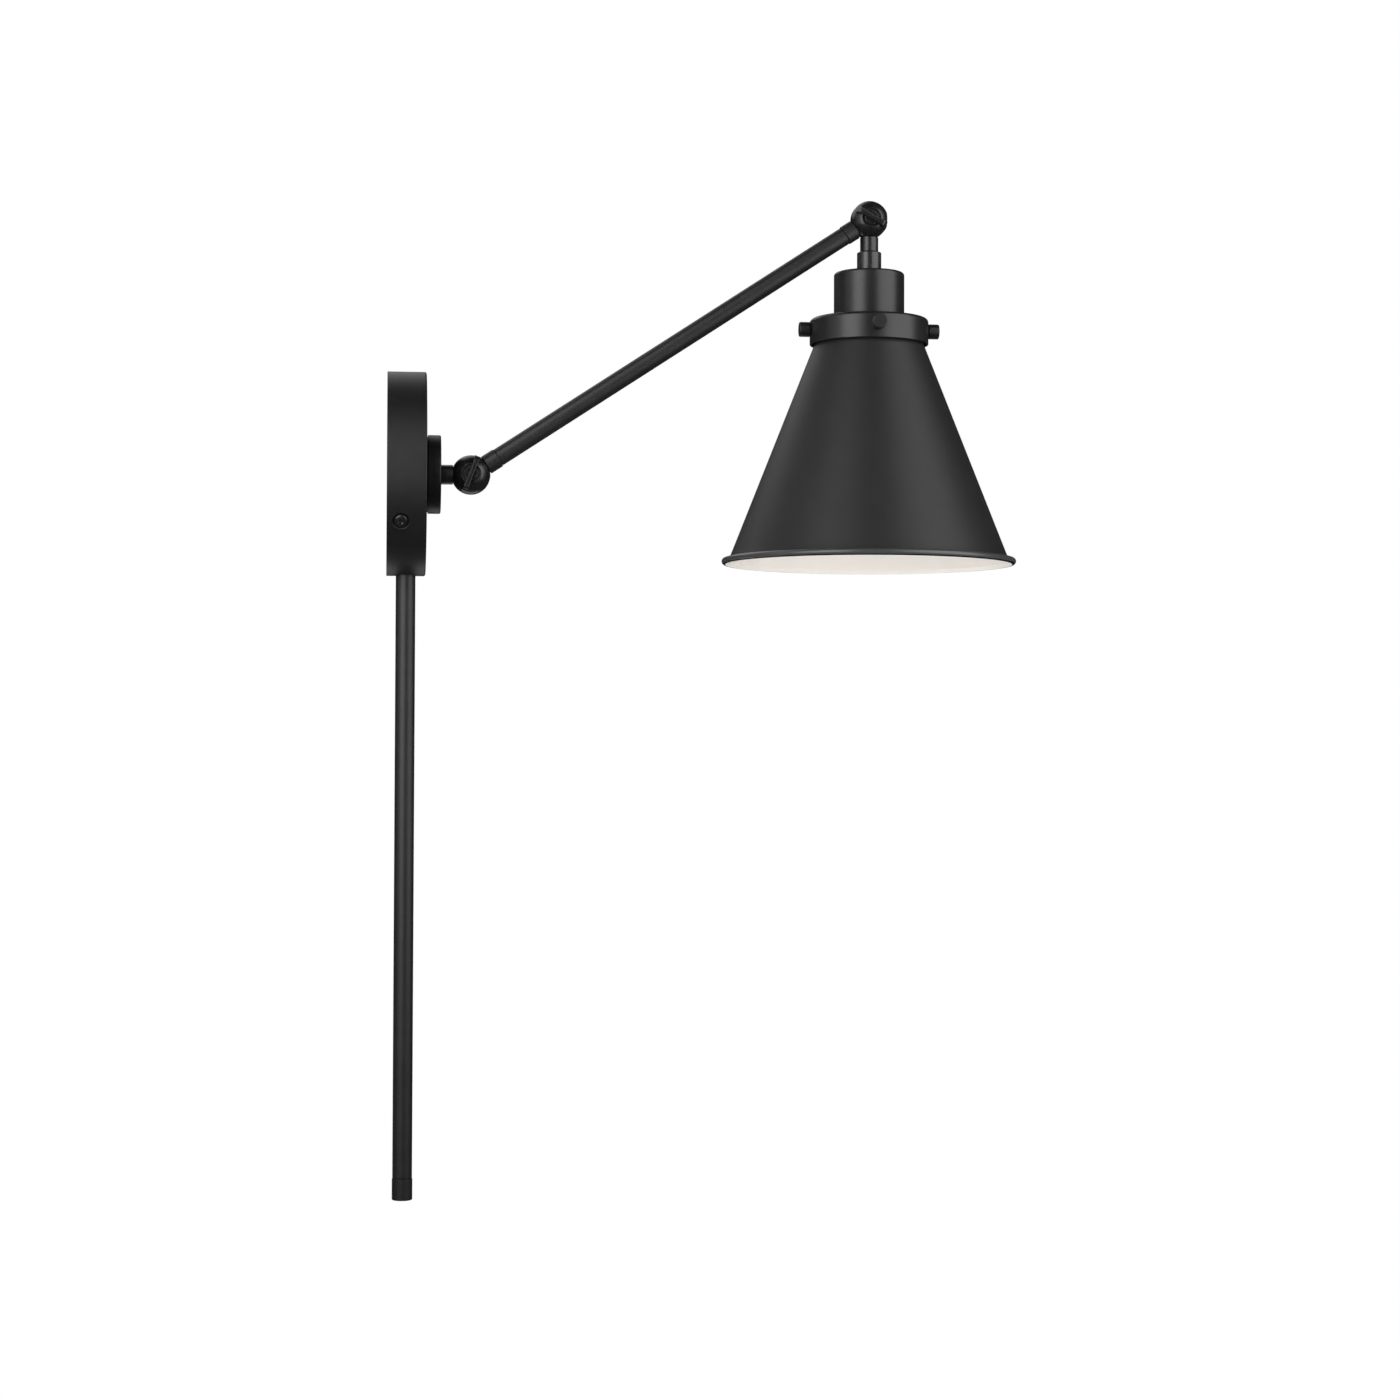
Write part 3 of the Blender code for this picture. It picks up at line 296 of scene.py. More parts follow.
class Finish:
    """A Principled material with helpers for its procedural detail."""

    def __init__(self, name, colour, roughness, metallic=0.0):
        self.material = bpy.data.materials.new(name)
        self.material.use_nodes = True
        self.nodes = self.material.node_tree.nodes
        self.links = self.material.node_tree.links
        self.shader = self.nodes["Principled BSDF"]
        self.set(Base_Color=(*colour, 1.0), Roughness=roughness, Metallic=metallic)
        self.place = self.nodes.new("ShaderNodeTexCoord").outputs["Object"]
        self.material.diffuse_color = (*colour, 1.0)

    def set(self, **values):
        for name, value in values.items():
            self.shader.inputs[name.replace("_", " ")].default_value = value

    def add(self, kind, output, **inputs):
        """An output of a new node whose inputs are set to numbers or linked to other outputs."""
        node = self.nodes.new(kind)
        for name, value in inputs.items():
            socket = node.inputs[name.replace("_", " ")]
            if isinstance(value, bpy.types.NodeSocket):
                self.links.new(value, socket)
            else:
                socket.default_value = value
        return node.outputs[output]

    def noise(self, size, detail=2.0, roughness=0.5, stretch=(1.0, 1.0, 1.0)):
        """Noise whose features are about the given size."""
        place = self.add("ShaderNodeMapping", "Vector", Scale=stretch, Vector=self.place)
        return self.add("ShaderNodeTexNoise", "Fac", Scale=1.0 / (size * MM), Detail=detail,
                        Roughness=roughness, Vector=place)

    def cells(self, size):
        """Rounded cells of about the given size, as distance to the nearest centre."""
        distance = self.add("ShaderNodeTexVoronoi", "Distance", Scale=1.0 / (size * MM), Vector=self.place)
        distance.node.feature = 'SMOOTH_F1'
        return distance

    def spread(self, value, low_value, high_value, start=0.3, end=0.7):
        """Remap a texture to a range of numbers."""
        return self.add("ShaderNodeMapRange", "Result", From_Min=start, From_Max=end, To_Min=low_value,
                        To_Max=high_value, Value=value)

    def shades(self, value, dark, light, start=0.3, end=0.7):
        """Remap a texture to a range between two colours, on the base colour."""
        colour = self.add("ShaderNodeValToRGB", "Color", Fac=value)
        for stop, position, tint in zip(colour.node.color_ramp.elements, (start, end), (dark, light)):
            stop.position = position
            stop.color = (*tint, 1.0)
        self.links.new(colour, self.shader.inputs["Base Color"])

    def rough(self, value):
        self.links.new(value, self.shader.inputs["Roughness"])

    def bump(self, *layers):
        """Stack bump layers, each a texture, its height and its strength."""
        last = {}
        for value, height, strength in layers:
            normal = self.add("ShaderNodeBump", "Normal", Distance=height * MM, Strength=strength,
                              Height=value, **last)
            last = {"Normal": normal}
        self.links.new(normal, self.shader.inputs["Normal"])


def powder_coat(name, base, roughness, shine=0.5, depth=0.035):
    """Satin black powder coat: fine orange peel, faint cloudiness and a few dust nibs."""
    finish = Finish(name, (base, base, base * 1.03), roughness)
    finish.set(Specular_IOR_Level=shine)
    cloud = finish.noise(9, detail=3)
    peel = finish.noise(0.55, detail=3, roughness=0.6)
    coarse = finish.noise(2.6, detail=2)
    nibs = finish.cells(1.9)
    finish.shades(cloud, (base * 0.85,) * 3, (base * 1.18, base * 1.18, base * 1.22))
    finish.rough(finish.spread(peel, roughness - 0.06, roughness + 0.07))
    finish.bump((peel, depth, 0.55), (coarse, 0.06, 0.18), (finish.spread(nibs, 1.0, 0.0, 0.0, 0.16),
                                                            0.05, 0.12))
    return finish.material


def smooth_black(name, base, roughness):
    """Smooth semi-gloss black paint on turned brass: faint lathe marks and clear coat."""
    finish = Finish(name, (base, base, base * 1.05), roughness)
    finish.set(Coat_Weight=0.15, Coat_Roughness=0.22)
    haze = finish.noise(3, detail=3)
    fine = finish.noise(0.5, detail=2)
    finish.shades(haze, (base * 0.8,) * 3, (base * 1.25,) * 3)
    finish.rough(finish.spread(haze, roughness - 0.02, roughness + 0.04))
    finish.bump((fine, 0.006, 0.1))
    return finish.material


def shade_black(name, base=0.0115, roughness=0.47, shine=0.35):
    """Black paint of the spun shade: soft orange peel over faint spinning lines."""
    finish = Finish(name, (base, base, base), roughness)
    finish.set(Specular_IOR_Level=shine)
    cloud = finish.noise(14, detail=3)
    peel = finish.noise(0.6, detail=3, roughness=0.6)
    spun = finish.noise(1.2, detail=1, stretch=(0.02, 0.02, 1.0))
    finish.shades(cloud, (base * 0.92,) * 3, (base * 1.1,) * 3)
    finish.rough(finish.spread(peel, roughness - 0.04, roughness + 0.05))
    finish.bump((peel, 0.03, 0.4), (spun, 0.015, 0.12))
    return finish.material


def white_enamel(name):
    """Warm white paint inside the shade, with a soft orange peel."""
    finish = Finish(name, (0.86, 0.815, 0.765), 0.42)
    cloud = finish.noise(12, detail=3)
    peel = finish.noise(1.1, detail=2)
    finish.shades(cloud, (0.85, 0.805, 0.755), (0.88, 0.84, 0.795))
    finish.rough(finish.spread(peel, 0.36, 0.48))
    finish.bump((peel, 0.05, 0.3))
    return finish.material


def zinc_plate(name):
    """Dull zinc on rolled steel: spangle, rolling lines and a faint blue cast."""
    finish = Finish(name, (0.32, 0.33, 0.35), 0.44, 1.0)
    spangle = finish.cells(5)
    lines = finish.noise(0.7, detail=3, stretch=(1.0, 0.04, 1.0))
    finish.shades(spangle, (0.26, 0.27, 0.29), (0.38, 0.39, 0.405), 0.1, 0.7)
    finish.rough(finish.spread(lines, 0.36, 0.54))
    finish.bump((lines, 0.02, 0.25))
    return finish.material


def plated(name, colour, roughness):
    """Small turned metal part with fine tool marks and slight tarnish."""
    finish = Finish(name, colour, roughness, 1.0)
    tarnish = finish.noise(4, detail=4)
    marks = finish.noise(0.35, detail=2, stretch=(0.1, 0.1, 1.0))
    dark = tuple(channel * 0.75 for channel in colour)
    finish.shades(tarnish, dark, colour)
    finish.rough(finish.spread(marks, roughness - 0.08, roughness + 0.1))
    finish.bump((marks, 0.02, 0.2))
    return finish.material


def moulded(name, colour, roughness):
    """Moulded plastic or rubber with a fine spark-eroded texture and flow clouding."""
    finish = Finish(name, colour, roughness)
    flow = finish.noise(6, detail=4)
    grain = finish.noise(0.4, detail=2)
    dark = tuple(channel * 0.85 for channel in colour)
    light = tuple(min(1.0, channel * 1.1) for channel in colour)
    finish.shades(flow, dark, light)
    finish.rough(finish.spread(grain, roughness - 0.06, roughness + 0.08))
    finish.bump((grain, 0.02, 0.3))
    return finish.material


def frosted_glass(name):
    """Soft white bulb glass: a milky inner coat under a smooth clear surface."""
    finish = Finish(name, (0.93, 0.925, 0.9), 0.28)
    finish.set(Subsurface_Weight=0.4, Subsurface_Scale=4 * MM, Coat_Weight=0.6, Coat_Roughness=0.05)
    coat = finish.noise(5, detail=4)
    finish.shades(coat, (0.90, 0.895, 0.87), (0.95, 0.945, 0.925))
    finish.rough(finish.spread(coat, 0.24, 0.34))
    finish.bump((coat, 0.02, 0.1))
    return finish.material


CANOPY_BLACK = powder_coat("canopy_powder_coat", 0.0055, 0.46, 0.38)
BOSS_BLACK = powder_coat("boss_powder_coat", 0.005, 0.44, 0.38)
TUBE_BLACK = powder_coat("tube_powder_coat", 0.009, 0.44, 0.46, depth=0.012)
CUP_BLACK = powder_coat("cup_powder_coat", 0.009, 0.34)
NECK_BLACK = smooth_black("neck_paint", 0.020, 0.25)
BALL_BLACK = smooth_black("knuckle_paint", 0.007, 0.31)
KEY_BLACK = smooth_black("key_paint", 0.010, 0.22)
SCREW_BLACK = smooth_black("screw_black_oxide", 0.008, 0.26)
SHADE_BLACK = shade_black("shade_paint")
# Rim bead: really glossier, and its base colour is about four times lighter than the shade's as a painted
# highlight band
RIM_GLOSS_AND_PAINTED_HIGHLIGHT = shade_black("rim_bead_paint", 0.045, 0.32, 0.6)
# Underside of the bead: near-black and dull, a painted shadow line under the painted highlight
RIM_PAINTED_SHADOW_LINE = shade_black("rim_raw_edge", 0.001, 0.60, 0.1)
ENAMEL = white_enamel("shade_enamel")
ZINC = zinc_plate("zinc_plate")
SMALL_ZINC = plated("zinc_hardware", (0.62, 0.63, 0.65), 0.30)
BRASS = plated("brass", (0.72, 0.53, 0.24), 0.30)
NICKEL = plated("nickel_cap", (0.62, 0.61, 0.58), 0.26)
PHENOLIC = moulded("phenolic", (0.030, 0.026, 0.023), 0.34)
GROUND_GREEN = plated("ground_green", (0.03, 0.30, 0.09), 0.35)
FIBRE = moulded("red_fibre", (0.25, 0.07, 0.035), 0.75)
CONNECTOR = moulded("connector_orange", (0.80, 0.20, 0.03), 0.42)
BLACK_WIRE = moulded("black_insulation", (0.018, 0.018, 0.018), 0.45)
WHITE_WIRE = moulded("white_insulation", (0.78, 0.77, 0.74), 0.45)
GLASS = frosted_glass("bulb_glass")


# ---- pieces on the wall

PATCH = 7.6
PATCH_STEPS = 14
SCREW_X = laid("canopy_screw_near").x
SCREW_ANGLES = (122.2, 237.8)
BOSS_SCREWS = ("boss_screw_upper", "boss_screw_lower")
CANOPY_R = high("canopy").z
CANOPY_DEPTH = high("canopy").x
CANOPY_WALL = 1.5
DIMPLE_DEPTH = 1.7
CORD_HOLE_R = 6.4
BOSS_SCREW_HOLE_R = 1.8
STEM_BORE_R = 5.1
SCREW_FLOOR = CANOPY_R - DIMPLE_DEPTH

# Ring radii of a dimple's mesh, from its centre out, for the outside and the inside
OUTSIDE_RINGS = (0, 1.0, 2.1, 2.8, 3.4, 3.9, 4.25, 4.5, 4.7, 4.9, 5.1, 5.3, 5.5, 6.2)
INSIDE_RINGS = (0, 1.0, 2.1, 3.0, 3.8, 4.5, 5.0, 5.25, 5.45, 5.65, 5.85, 6.05, 6.25, 6.8)
HOLE_RING = 2


def smooth_step(value, start, end):
    share = min(1.0, max(0.0, (value - start) / (end - start)))
    return share * share * (3 - 2 * share)


def ring_place(i, j, rings):
    """A grid corner of the patch moved on to its ring, and its distance from the centre."""
    ring = max(abs(i), abs(j))
    if ring == 0:
        return 0.0, 0.0, 0.0
    if abs(j) == ring:
        turn = math.pi / 4 * i / ring * (1 if j > 0 else -1) + (0.0 if j > 0 else math.pi)
    else:
        turn = math.pi / 2 * (1 if i > 0 else -1) - math.pi / 4 * j / ring * (1 if i > 0 else -1)
    if ring >= PATCH_STEPS:
        return PATCH * j / PATCH_STEPS, PATCH * i / PATCH_STEPS, PATCH
    radius = rings[ring]
    return radius * math.cos(turn), radius * math.sin(turn), radius


def outward_at(degrees):
    """Direction in the wall's plane, turning from straight up towards the near side."""
    angle = math.radians(degrees)
    return Vector((0.0, -math.sin(angle), math.cos(angle)))


def canopy_columns():
    """Turn angle of each column, with the patch and the step in it where it crosses one."""
    columns = []
    edge = math.degrees(math.asin(PATCH / CANOPY_R))
    for index, centre in enumerate(SCREW_ANGLES):
        for step in range(-PATCH_STEPS, PATCH_STEPS + 1):
            offset = math.degrees(math.asin(PATCH * step / PATCH_STEPS / CANOPY_R))
            columns.append((centre + offset, index, step))
        start = centre + edge
        end = SCREW_ANGLES[1] - edge if index == 0 else SCREW_ANGLES[0] + 360 - edge
        count = round((end - start) / 1.9)
        for step in range(1, count):
            columns.append((start + (end - start) * step / count, None, 0))
    return columns


def canopy_rows():
    """Radius, height, surface and step in the patch of each row, from the wall edge round."""
    radius, depth, wall = CANOPY_R, CANOPY_DEPTH, CANOPY_WALL
    lip = 0.3
    edge_r = 1.2
    inner = radius - wall
    steps = range(-PATCH_STEPS, PATCH_STEPS + 1)
    rows = [(radius - lip, 0.0, None, 0), (radius - 0.09, 0.09, None, 0), (radius, lip, None, 0)]
    rows += [(radius, SCREW_X + PATCH * step / PATCH_STEPS, "outside", step) for step in steps]
    rows += [(radius, 19, None, 0)]
    rows += [(*point, None, 0) for point in arc((radius - edge_r, depth - edge_r), edge_r, 0, 90, 9)]
    front = [58, 46, 36, 26, 15, STEM_BORE_R]
    rows += [(point, depth, None, 0) for point in front]
    rows += [(point, depth - wall, None, 0) for point in reversed(front)]
    rows += [(*point, None, 0) for point in arc((inner - wall, depth - 2 * wall), wall, 90, 0, 6)]
    rows += [(inner, SCREW_X + PATCH * step / PATCH_STEPS, "inside", step) for step in reversed(steps)]
    rows += [(inner, lip, None, 0), (inner + 0.09, 0.09, None, 0), (inner + lip, 0.0, None, 0)]
    return rows


def canopy_point(column, row):
    """Place of one corner of the canopy's mesh."""
    degrees, patch, across = column
    radius, height, surface, along = row
    if patch is None or surface is None:
        return outward_at(degrees) * radius + OUT_OF_WALL * height
    rings, floor = OUTSIDE_RINGS, SCREW_FLOOR
    start, end = 4.35, 5.45
    if surface == "inside":
        rings, floor = INSIDE_RINGS, SCREW_FLOOR - CANOPY_WALL
        start, end = 5.1, 6.2
    side, up, distance = ring_place(along, across, rings)
    if distance == PATCH:
        side *= radius / CANOPY_R
    outward = outward_at(SCREW_ANGLES[patch])
    tangent = outward_at(SCREW_ANGLES[patch] + 90)
    reach = math.sqrt(radius ** 2 - side ** 2)
    reach = floor + (reach - floor) * smooth_step(distance, start, end)
    return outward * reach + tangent * side + OUT_OF_WALL * (SCREW_X + up)


def in_hole(columns, rows, c, r):
    """True for the mesh faces that a canopy screw goes through."""
    for column in (columns[c], columns[(c + 1) % len(columns)]):
        for row in (rows[r], rows[(r + 1) % len(rows)]):
            if column[1] is None or row[2] is None or max(abs(column[2]), abs(row[3])) > HOLE_RING:
                return False
    return True


def canopy():
    """Pressed cover: one skin inside and out, with a pressed dimple round each side screw."""
    columns, rows = canopy_columns(), canopy_rows()
    bm = bmesh.new()
    grid = [[bm.verts.new(canopy_point(column, row) * MM) for row in rows] for column in columns]
    for c in range(len(columns)):
        for r in range(len(rows)):
            if not in_hole(columns, rows, c, r):
                after, above = (c + 1) % len(columns), (r + 1) % len(rows)
                bm.faces.new((grid[c][r], grid[after][r], grid[after][above], grid[c][above]))
    loose = [vert for vert in bm.verts if not vert.link_faces]
    bmesh.ops.delete(bm, geom=loose, context='VERTS')
    open_edges = [edge for edge in bm.edges if len(edge.link_faces) == 1]
    near = [edge for edge in open_edges if edge.verts[0].co.y < 0]
    far = [edge for edge in open_edges if edge.verts[0].co.y > 0]
    for loops in (near, far):
        bmesh.ops.bridge_loops(bm, edges=loops)
    shell = finished("canopy_shell", bm, [CANOPY_BLACK])
    holes = [hole_tool(CORD_HOLE_R, -70, -50, moved(laid("cord_cover_tube").x))]
    holes += [hole_tool(BOSS_SCREW_HOLE_R, 20, 26, boss_screw_place(node)) for node in BOSS_SCREWS]
    stand_for(carve(shell, holes), "canopy")


def boss_screw_place(node):
    return lay_along(OUT_OF_WALL, UP * laid(node).z)


def cross_recess(place, top, size, depth):
    """Cutters for a cross recess in a screw's head."""
    half = size / 2
    outline = [(-half, top + 0.3), (half, top + 0.3), (half * 0.45, top - depth),
               (-half * 0.45, top - depth)]
    turns = (0.0, math.pi / 2)
    width = size * 0.115
    return [prism("recess tool", outline, -width, width, [], place @ Matrix.Rotation(turn, 4, 'Z'))
            for turn in turns]


def canopy_screws():
    base = SCREW_FLOOR + GAP
    top = base + 1.8
    head = [(1.8, base), (4.0, base, 0.15), (4.0, base + 0.7)]
    for step in range(1, 9):
        lean = math.radians(90 * step / 8)
        head.append((4.0 * math.cos(lean) ** 0.62, base + 0.7 + 1.1 * math.sin(lean)))
    head[-1] = (0.0, top)
    tip = 54
    outline = rounded([(0, tip), (1.8, tip, 0.4)] + head)
    for node, degrees, spin in (("canopy_screw_near", SCREW_ANGLES[0], 0.5),
                                ("canopy_screw_far", SCREW_ANGLES[1], 1.1)):
        place = moved(SCREW_X) @ facing(OUT_OF_WALL, outward_at(degrees))
        screw = turned(f"{node}_head", outline, [SCREW_BLACK], place, SMALL)
        recess = cross_recess(place @ Matrix.Rotation(spin, 4, 'Z'), top, 4.4, 1.1)
        stand_for(carve(screw, recess), node)


def wall_plate():
    thick, edge = 1.6, 0.25
    outline = ring(0, high("wall_plate").z, 0, thick, edge, edge)
    plate = turned("wall_plate_disc", outline, [ZINC], lay_along(OUT_OF_WALL), LARGE)
    tab_r = 59.9
    tabs, tools = [], []
    for degrees in SCREW_ANGLES:
        place = facing(OUT_OF_WALL, outward_at(degrees))
        bent = rounded([(0.1, 45), (0.1, tab_r, 2.2), (14, tab_r, 0.2), (14, tab_r - thick, 0.2),
                        (thick, tab_r - thick, 0.6), (thick - 0.1, 45)])
        tabs.append(prism("tab", bent, -7, 7, [ZINC], place, 0.2))
        tools.append(hole_tool(2.1, 50, 70, moved(SCREW_X) @ place))
    plate = carve(plate, tabs, 'UNION')
    slot_z, slot_reach, slot_r = 38, 4.5, 2.5
    for z in (slot_z, -slot_z):
        slot_outline = arc((slot_reach, z), slot_r, -90, 90, 12)
        slot_outline += arc((-slot_reach, z), slot_r, 90, 270, 12)
        turn = Matrix.Rotation(math.pi / 2, 4, 'Z')
        tools.append(prism("slot tool", slot_outline, -4, 4, [], turn))
    wire_hole, ground_hole = (8.0, 0.0, 20.0), (1.9, 22.0, -22.0)
    for radius, y, z in (wire_hole, ground_hole):
        tools.append(hole_tool(radius, -4, 4, lay_along(OUT_OF_WALL, Vector((0, y, z)))))
    stand_for(carve(plate, tools), "wall_plate")


def ground_screw():
    at = laid("ground_screw")
    outline = rounded([(0, GAP), (1.6, GAP), (1.6, 1.9), (4, 1.9), (4, 3.9, 0.3), (3.2, 4.6, 0.3),
                       (0, 4.6)])
    place = lay_along(OUT_OF_WALL, Vector((0, at.y, at.z)))
    screw = turned("ground_screw_head", outline, [GROUND_GREEN], place, SMALL)
    stand_for(carve(screw, cross_recess(place, 4.6, 4.4, 1.2)), "ground_screw")


def boss():
    back, front, radius = low("swivel_boss").x, high("swivel_boss").x, high("swivel_boss").z
    step = 0.9
    outline = rounded([(STEM_BORE_R, back), (radius - step, back), (radius - step, back + step),
                       (radius, back + step, 0.25), (radius, front, 1.0), (STEM_BORE_R, front, 0.2)])
    disc = turned("swivel_boss_disc", outline, [BOSS_BLACK], lay_along(OUT_OF_WALL), LARGE)
    tools = []
    seat = CANOPY_DEPTH - CANOPY_WALL - GAP
    for node in BOSS_SCREWS:
        at = boss_screw_place(node)
        tools.append(hole_tool(BOSS_SCREW_HOLE_R, 20, 31, at))
        screw_outline = rounded([(0, seat - 2), (2.2, seat - 2, 0.4), (3.2, seat - 1.1, 0.3), (3.2, seat),
                                 (1.5, seat), (1.5, 30.4, 0.3), (0, 30.4)])
        screw = turned(f"{node}_body", screw_outline, [SMALL_ZINC], at, SMALL)
        back_out = at @ moved(z=seat - 2) @ Matrix.Rotation(math.pi, 4, 'X')
        stand_for(carve(screw, cross_recess(back_out, 0.0, 3.6, 1.0)), node)
    stand_for(carve(disc, tools), "swivel_boss")


def cord_cover():
    at = moved(laid("cord_cover_tube").x)
    bottom, top = low("cord_cover_tube").z, high("cord_cover_tube").z
    outline = ring(5, 6.1, bottom, top, 0.2, 0.2)
    stand_for(turned("cord_cover_pipe", outline, [TUBE_BLACK], at), "cord_cover_tube")
    hex_nut("cord_cover_locknut", 9, 6.4, at)
    end = low("cord_outlet_ferrule").z
    seat = bottom - GAP
    outline = rounded([(3.6, end, 0.5), (6.35, end, 0.8), (6.35, seat, 0.3), (4.7, seat),
                       (4.7, seat + 12, 0.3), (3.6, seat + 12)])
    stand_turned("cord_outlet_ferrule", "end", outline, TUBE_BLACK, at)


def span(node, along):
    """Start and end of a CAD node's box along one axis."""
    return getattr(low(node), along), getattr(high(node), along)


def hex_nut(node, corner_r, bore, place, along="z"):
    """Six-sided nut with turned corners and a chamfered bore."""
    start, end = span(node, along)
    corners = arc((0, 0), corner_r, 0, 300, 5)
    lie_down = Matrix.Rotation(math.pi / 2, 4, 'X')
    nut = prism(f"{node}_hex", corners, start, end, [SMALL_ZINC], place @ lie_down)
    flat = corner_r * 0.885
    lift = (corner_r - flat) * 0.6
    past, ease = 0.01, 0.4
    barrel = turned("nut chamfer tool", [(0, start - past), (flat, start - past),
                                         (corner_r, start + lift), (corner_r, end - lift),
                                         (flat, end + past), (0, end + past)], [], place)
    hole = turned("nut bore tool", [(0, start - ease), (bore + 2 * ease, start - ease),
                                    (bore, start + ease), (bore, end - ease),
                                    (bore + 2 * ease, end + ease), (0, end + ease)], [], place)
    nut = carve(nut, [barrel], 'INTERSECT')
    stand_for(carve(nut, [hole]), node)


def curved(points, steps=6):
    """Catmull-Rom curve through points of any dimension."""
    points = [Vector(point) for point in points]
    padded = [2 * points[0] - points[1]] + points + [2 * points[-1] - points[-2]]
    route = []
    for a, b, c, d in zip(padded, padded[1:], padded[2:], padded[3:]):
        for step in range(steps):
            t = step / steps
            route.append(0.5 * (2 * b + (c - a) * t + (2 * a - 5 * b + 4 * c - d) * t * t
                                + (3 * b - a - 3 * c + d) * t ** 3))
    return route + [points[-1]]


def lead(node, points, radius, mat):
    """Insulated lead along a smooth route."""
    data = bpy.data.curves.new(f"{node}_wire", 'CURVE')
    data.dimensions = '3D'
    data.bevel_depth = radius * MM
    data.bevel_resolution = 5
    data.use_fill_caps = True
    spline = data.splines.new('POLY')
    route = curved([[value * MM for value in point] for point in points])
    spline.points.add(len(route) - 1)
    spline.use_smooth = True
    for place, point in zip(spline.points, route):
        place.co = (*point, 1.0)
    data.materials.append(mat)
    stand_for(linked(f"{node}_wire", data), node)


LEADS = (("live", BLACK_WIRE, -1), ("neutral", WHITE_WIRE, 1))


def canopy_wiring():
    """Two leads from the stem to their twist-on connectors."""
    def ribbed(radius, height, angle):
        share = smooth_step(height, 14.5, 16) - smooth_step(height, 29, 32)
        outside = radius > 2.5
        return (radius + 0.22 * share * math.cos(14 * angle) if outside else radius), height

    skirt = [(0, 15), (3.4, 15, 0.3), (4.6, 13.5, 0.4), (6, 13.5, 0.5), (5.7, 17, 1)]
    for height in range(18, 32):
        skirt.append((5.5 - (height - 18) * 0.1, height))
    skirt += [(4.1, 32.5, 0.6), (3.2, 34.5, 0.8), (0, 34.5)]
    for name, mat, side in LEADS:
        route = [(10.4, 1.3, 0.0), (7.6, 2.2, 0.6), (6.6, 7.0, 2.0), (9.0, 18.0, 3.5), (11.6, 26.5, 5.0),
                 (12.0, 29.0, 9.0), (12.0, 29.0, 15.2)]
        lead(f"{name}_lead", [(x, side * y, z) for x, y, z in route], 1.1, mat)
        node = f"{name}_wire_connector"
        middle = laid(node)
        stand_turned(node, "cap", rounded(skirt), CONNECTOR, moved(middle.x, middle.y), 112, ribbed)


# ---- knuckles and arm

LOWER_BALL_R = 12.5
UPPER_BALL_R = 12.1
UPPER_BALL_FLAT = 10.7
STEM_R = 6.15
NECK_R = 5.75
NECK_BORE_R = 4.7
SLOT_HALF = 3.0
PIVOT_HOLE_R = 2.35
KEY_CLEARANCE = 0.8


def soft(before, corner, after, steps=4):
    """Round a corner between two points."""
    before, corner, after = Vector(before), Vector(corner), Vector(after)
    return [tuple(before * (1 - t) ** 2 + corner * 2 * t * (1 - t) + after * t * t)
            for t in (step / steps for step in range(steps + 1))]


def beside(path, distance):
    """Points beside a path, to its right, from its second point on."""
    points = []
    for before, here in zip(path, path[1:]):
        run = (Vector(here) - Vector(before)).normalized()
        points.append(tuple(Vector(here) + Vector((run.y, -run.x)) * distance))
    return points


def cheeks(label, pivot, ball_r, flat):
    """Two halves of the ball, the near one with a recess for the key."""
    recess_r, recess_floor = 5.95, 9.0
    inner = math.degrees(math.asin(SLOT_HALF / ball_r))
    rim = math.degrees(math.acos(recess_r / ball_r))

    def on_ball(degrees):
        angle = math.radians(degrees)
        return ball_r * math.cos(angle), ball_r * math.sin(angle)

    ease = 0.3
    start, end = inner + 1.6, rim - 1.6
    edge = soft((on_ball(inner)[0] - ease, SLOT_HALF), on_ball(inner), on_ball(start))
    near = [(PIVOT_HOLE_R, SLOT_HALF)] + edge
    near += [on_ball(start + (end - start) * step / 20) for step in range(1, 20)]
    near += soft(on_ball(end), on_ball(rim), (recess_r, on_ball(rim)[1] - ease))
    near += soft((recess_r, recess_floor + ease), (recess_r, recess_floor), (recess_r - ease, recess_floor))
    near += [(PIVOT_HOLE_R, recess_floor)]
    far = [(PIVOT_HOLE_R, -SLOT_HALF)] + [(r, -h) for r, h in edge]
    far += [on_ball(-start - (90 - start) * step / 30) for step in range(1, 30)]
    far += [(0, -ball_r), (0, -9.5), (PIVOT_HOLE_R, -9.5)]
    halves = []
    for side, outline in (("near", near), ("far", far)):
        half = turned(f"{label}_{side}_cheek", outline, [BALL_BLACK], lay_along(NEAR, pivot), 144)
        if flat is not None:
            trim(half, pivot + OUT_OF_WALL * flat, OUT_OF_WALL)
        halves.append(half)
    return halves


def trim(obj, at, normal):
    """Cut a piece off flat at a plane."""
    bm = bmesh.new()
    bm.from_mesh(obj.data)
    geometry = bm.verts[:] + bm.edges[:] + bm.faces[:]
    cut_geometry = bmesh.ops.bisect_plane(bm, geom=geometry, plane_co=at * MM, plane_no=normal,
                                          clear_outer=True)["geom_cut"]
    edges = [item for item in cut_geometry if isinstance(item, bmesh.types.BMEdge)]
    bmesh.ops.edgeloop_fill(bm, edges=edges)
    mark_edges(bm, 30)
    bm.to_mesh(obj.data)
    bm.free()


def slotted_ball(node, pivot, ball_r, stem_outline, stem_direction, flat=None):
    """Ball in two cheeks, tied by a bridge to the stem that leaves it."""
    halves = cheeks(node, pivot, ball_r, flat)
    place = lay_along(-stem_direction, pivot)
    stem = turned(f"{node}_stem", stem_outline, [NECK_BLACK], place)
    half = 3.6
    bridge_outline = [(-half, -11.4), (half, -11.4), (half, -6.9), (-half, -6.9)]
    bridge = prism(f"{node}_bridge", bridge_outline, -3.2, 3.2, [BALL_BLACK], place)
    body = carve(halves[0], [halves[1], bridge], 'UNION')
    body.name = f"{node}_body"
    stand_for(carve(body, [stem], 'UNION'), node)


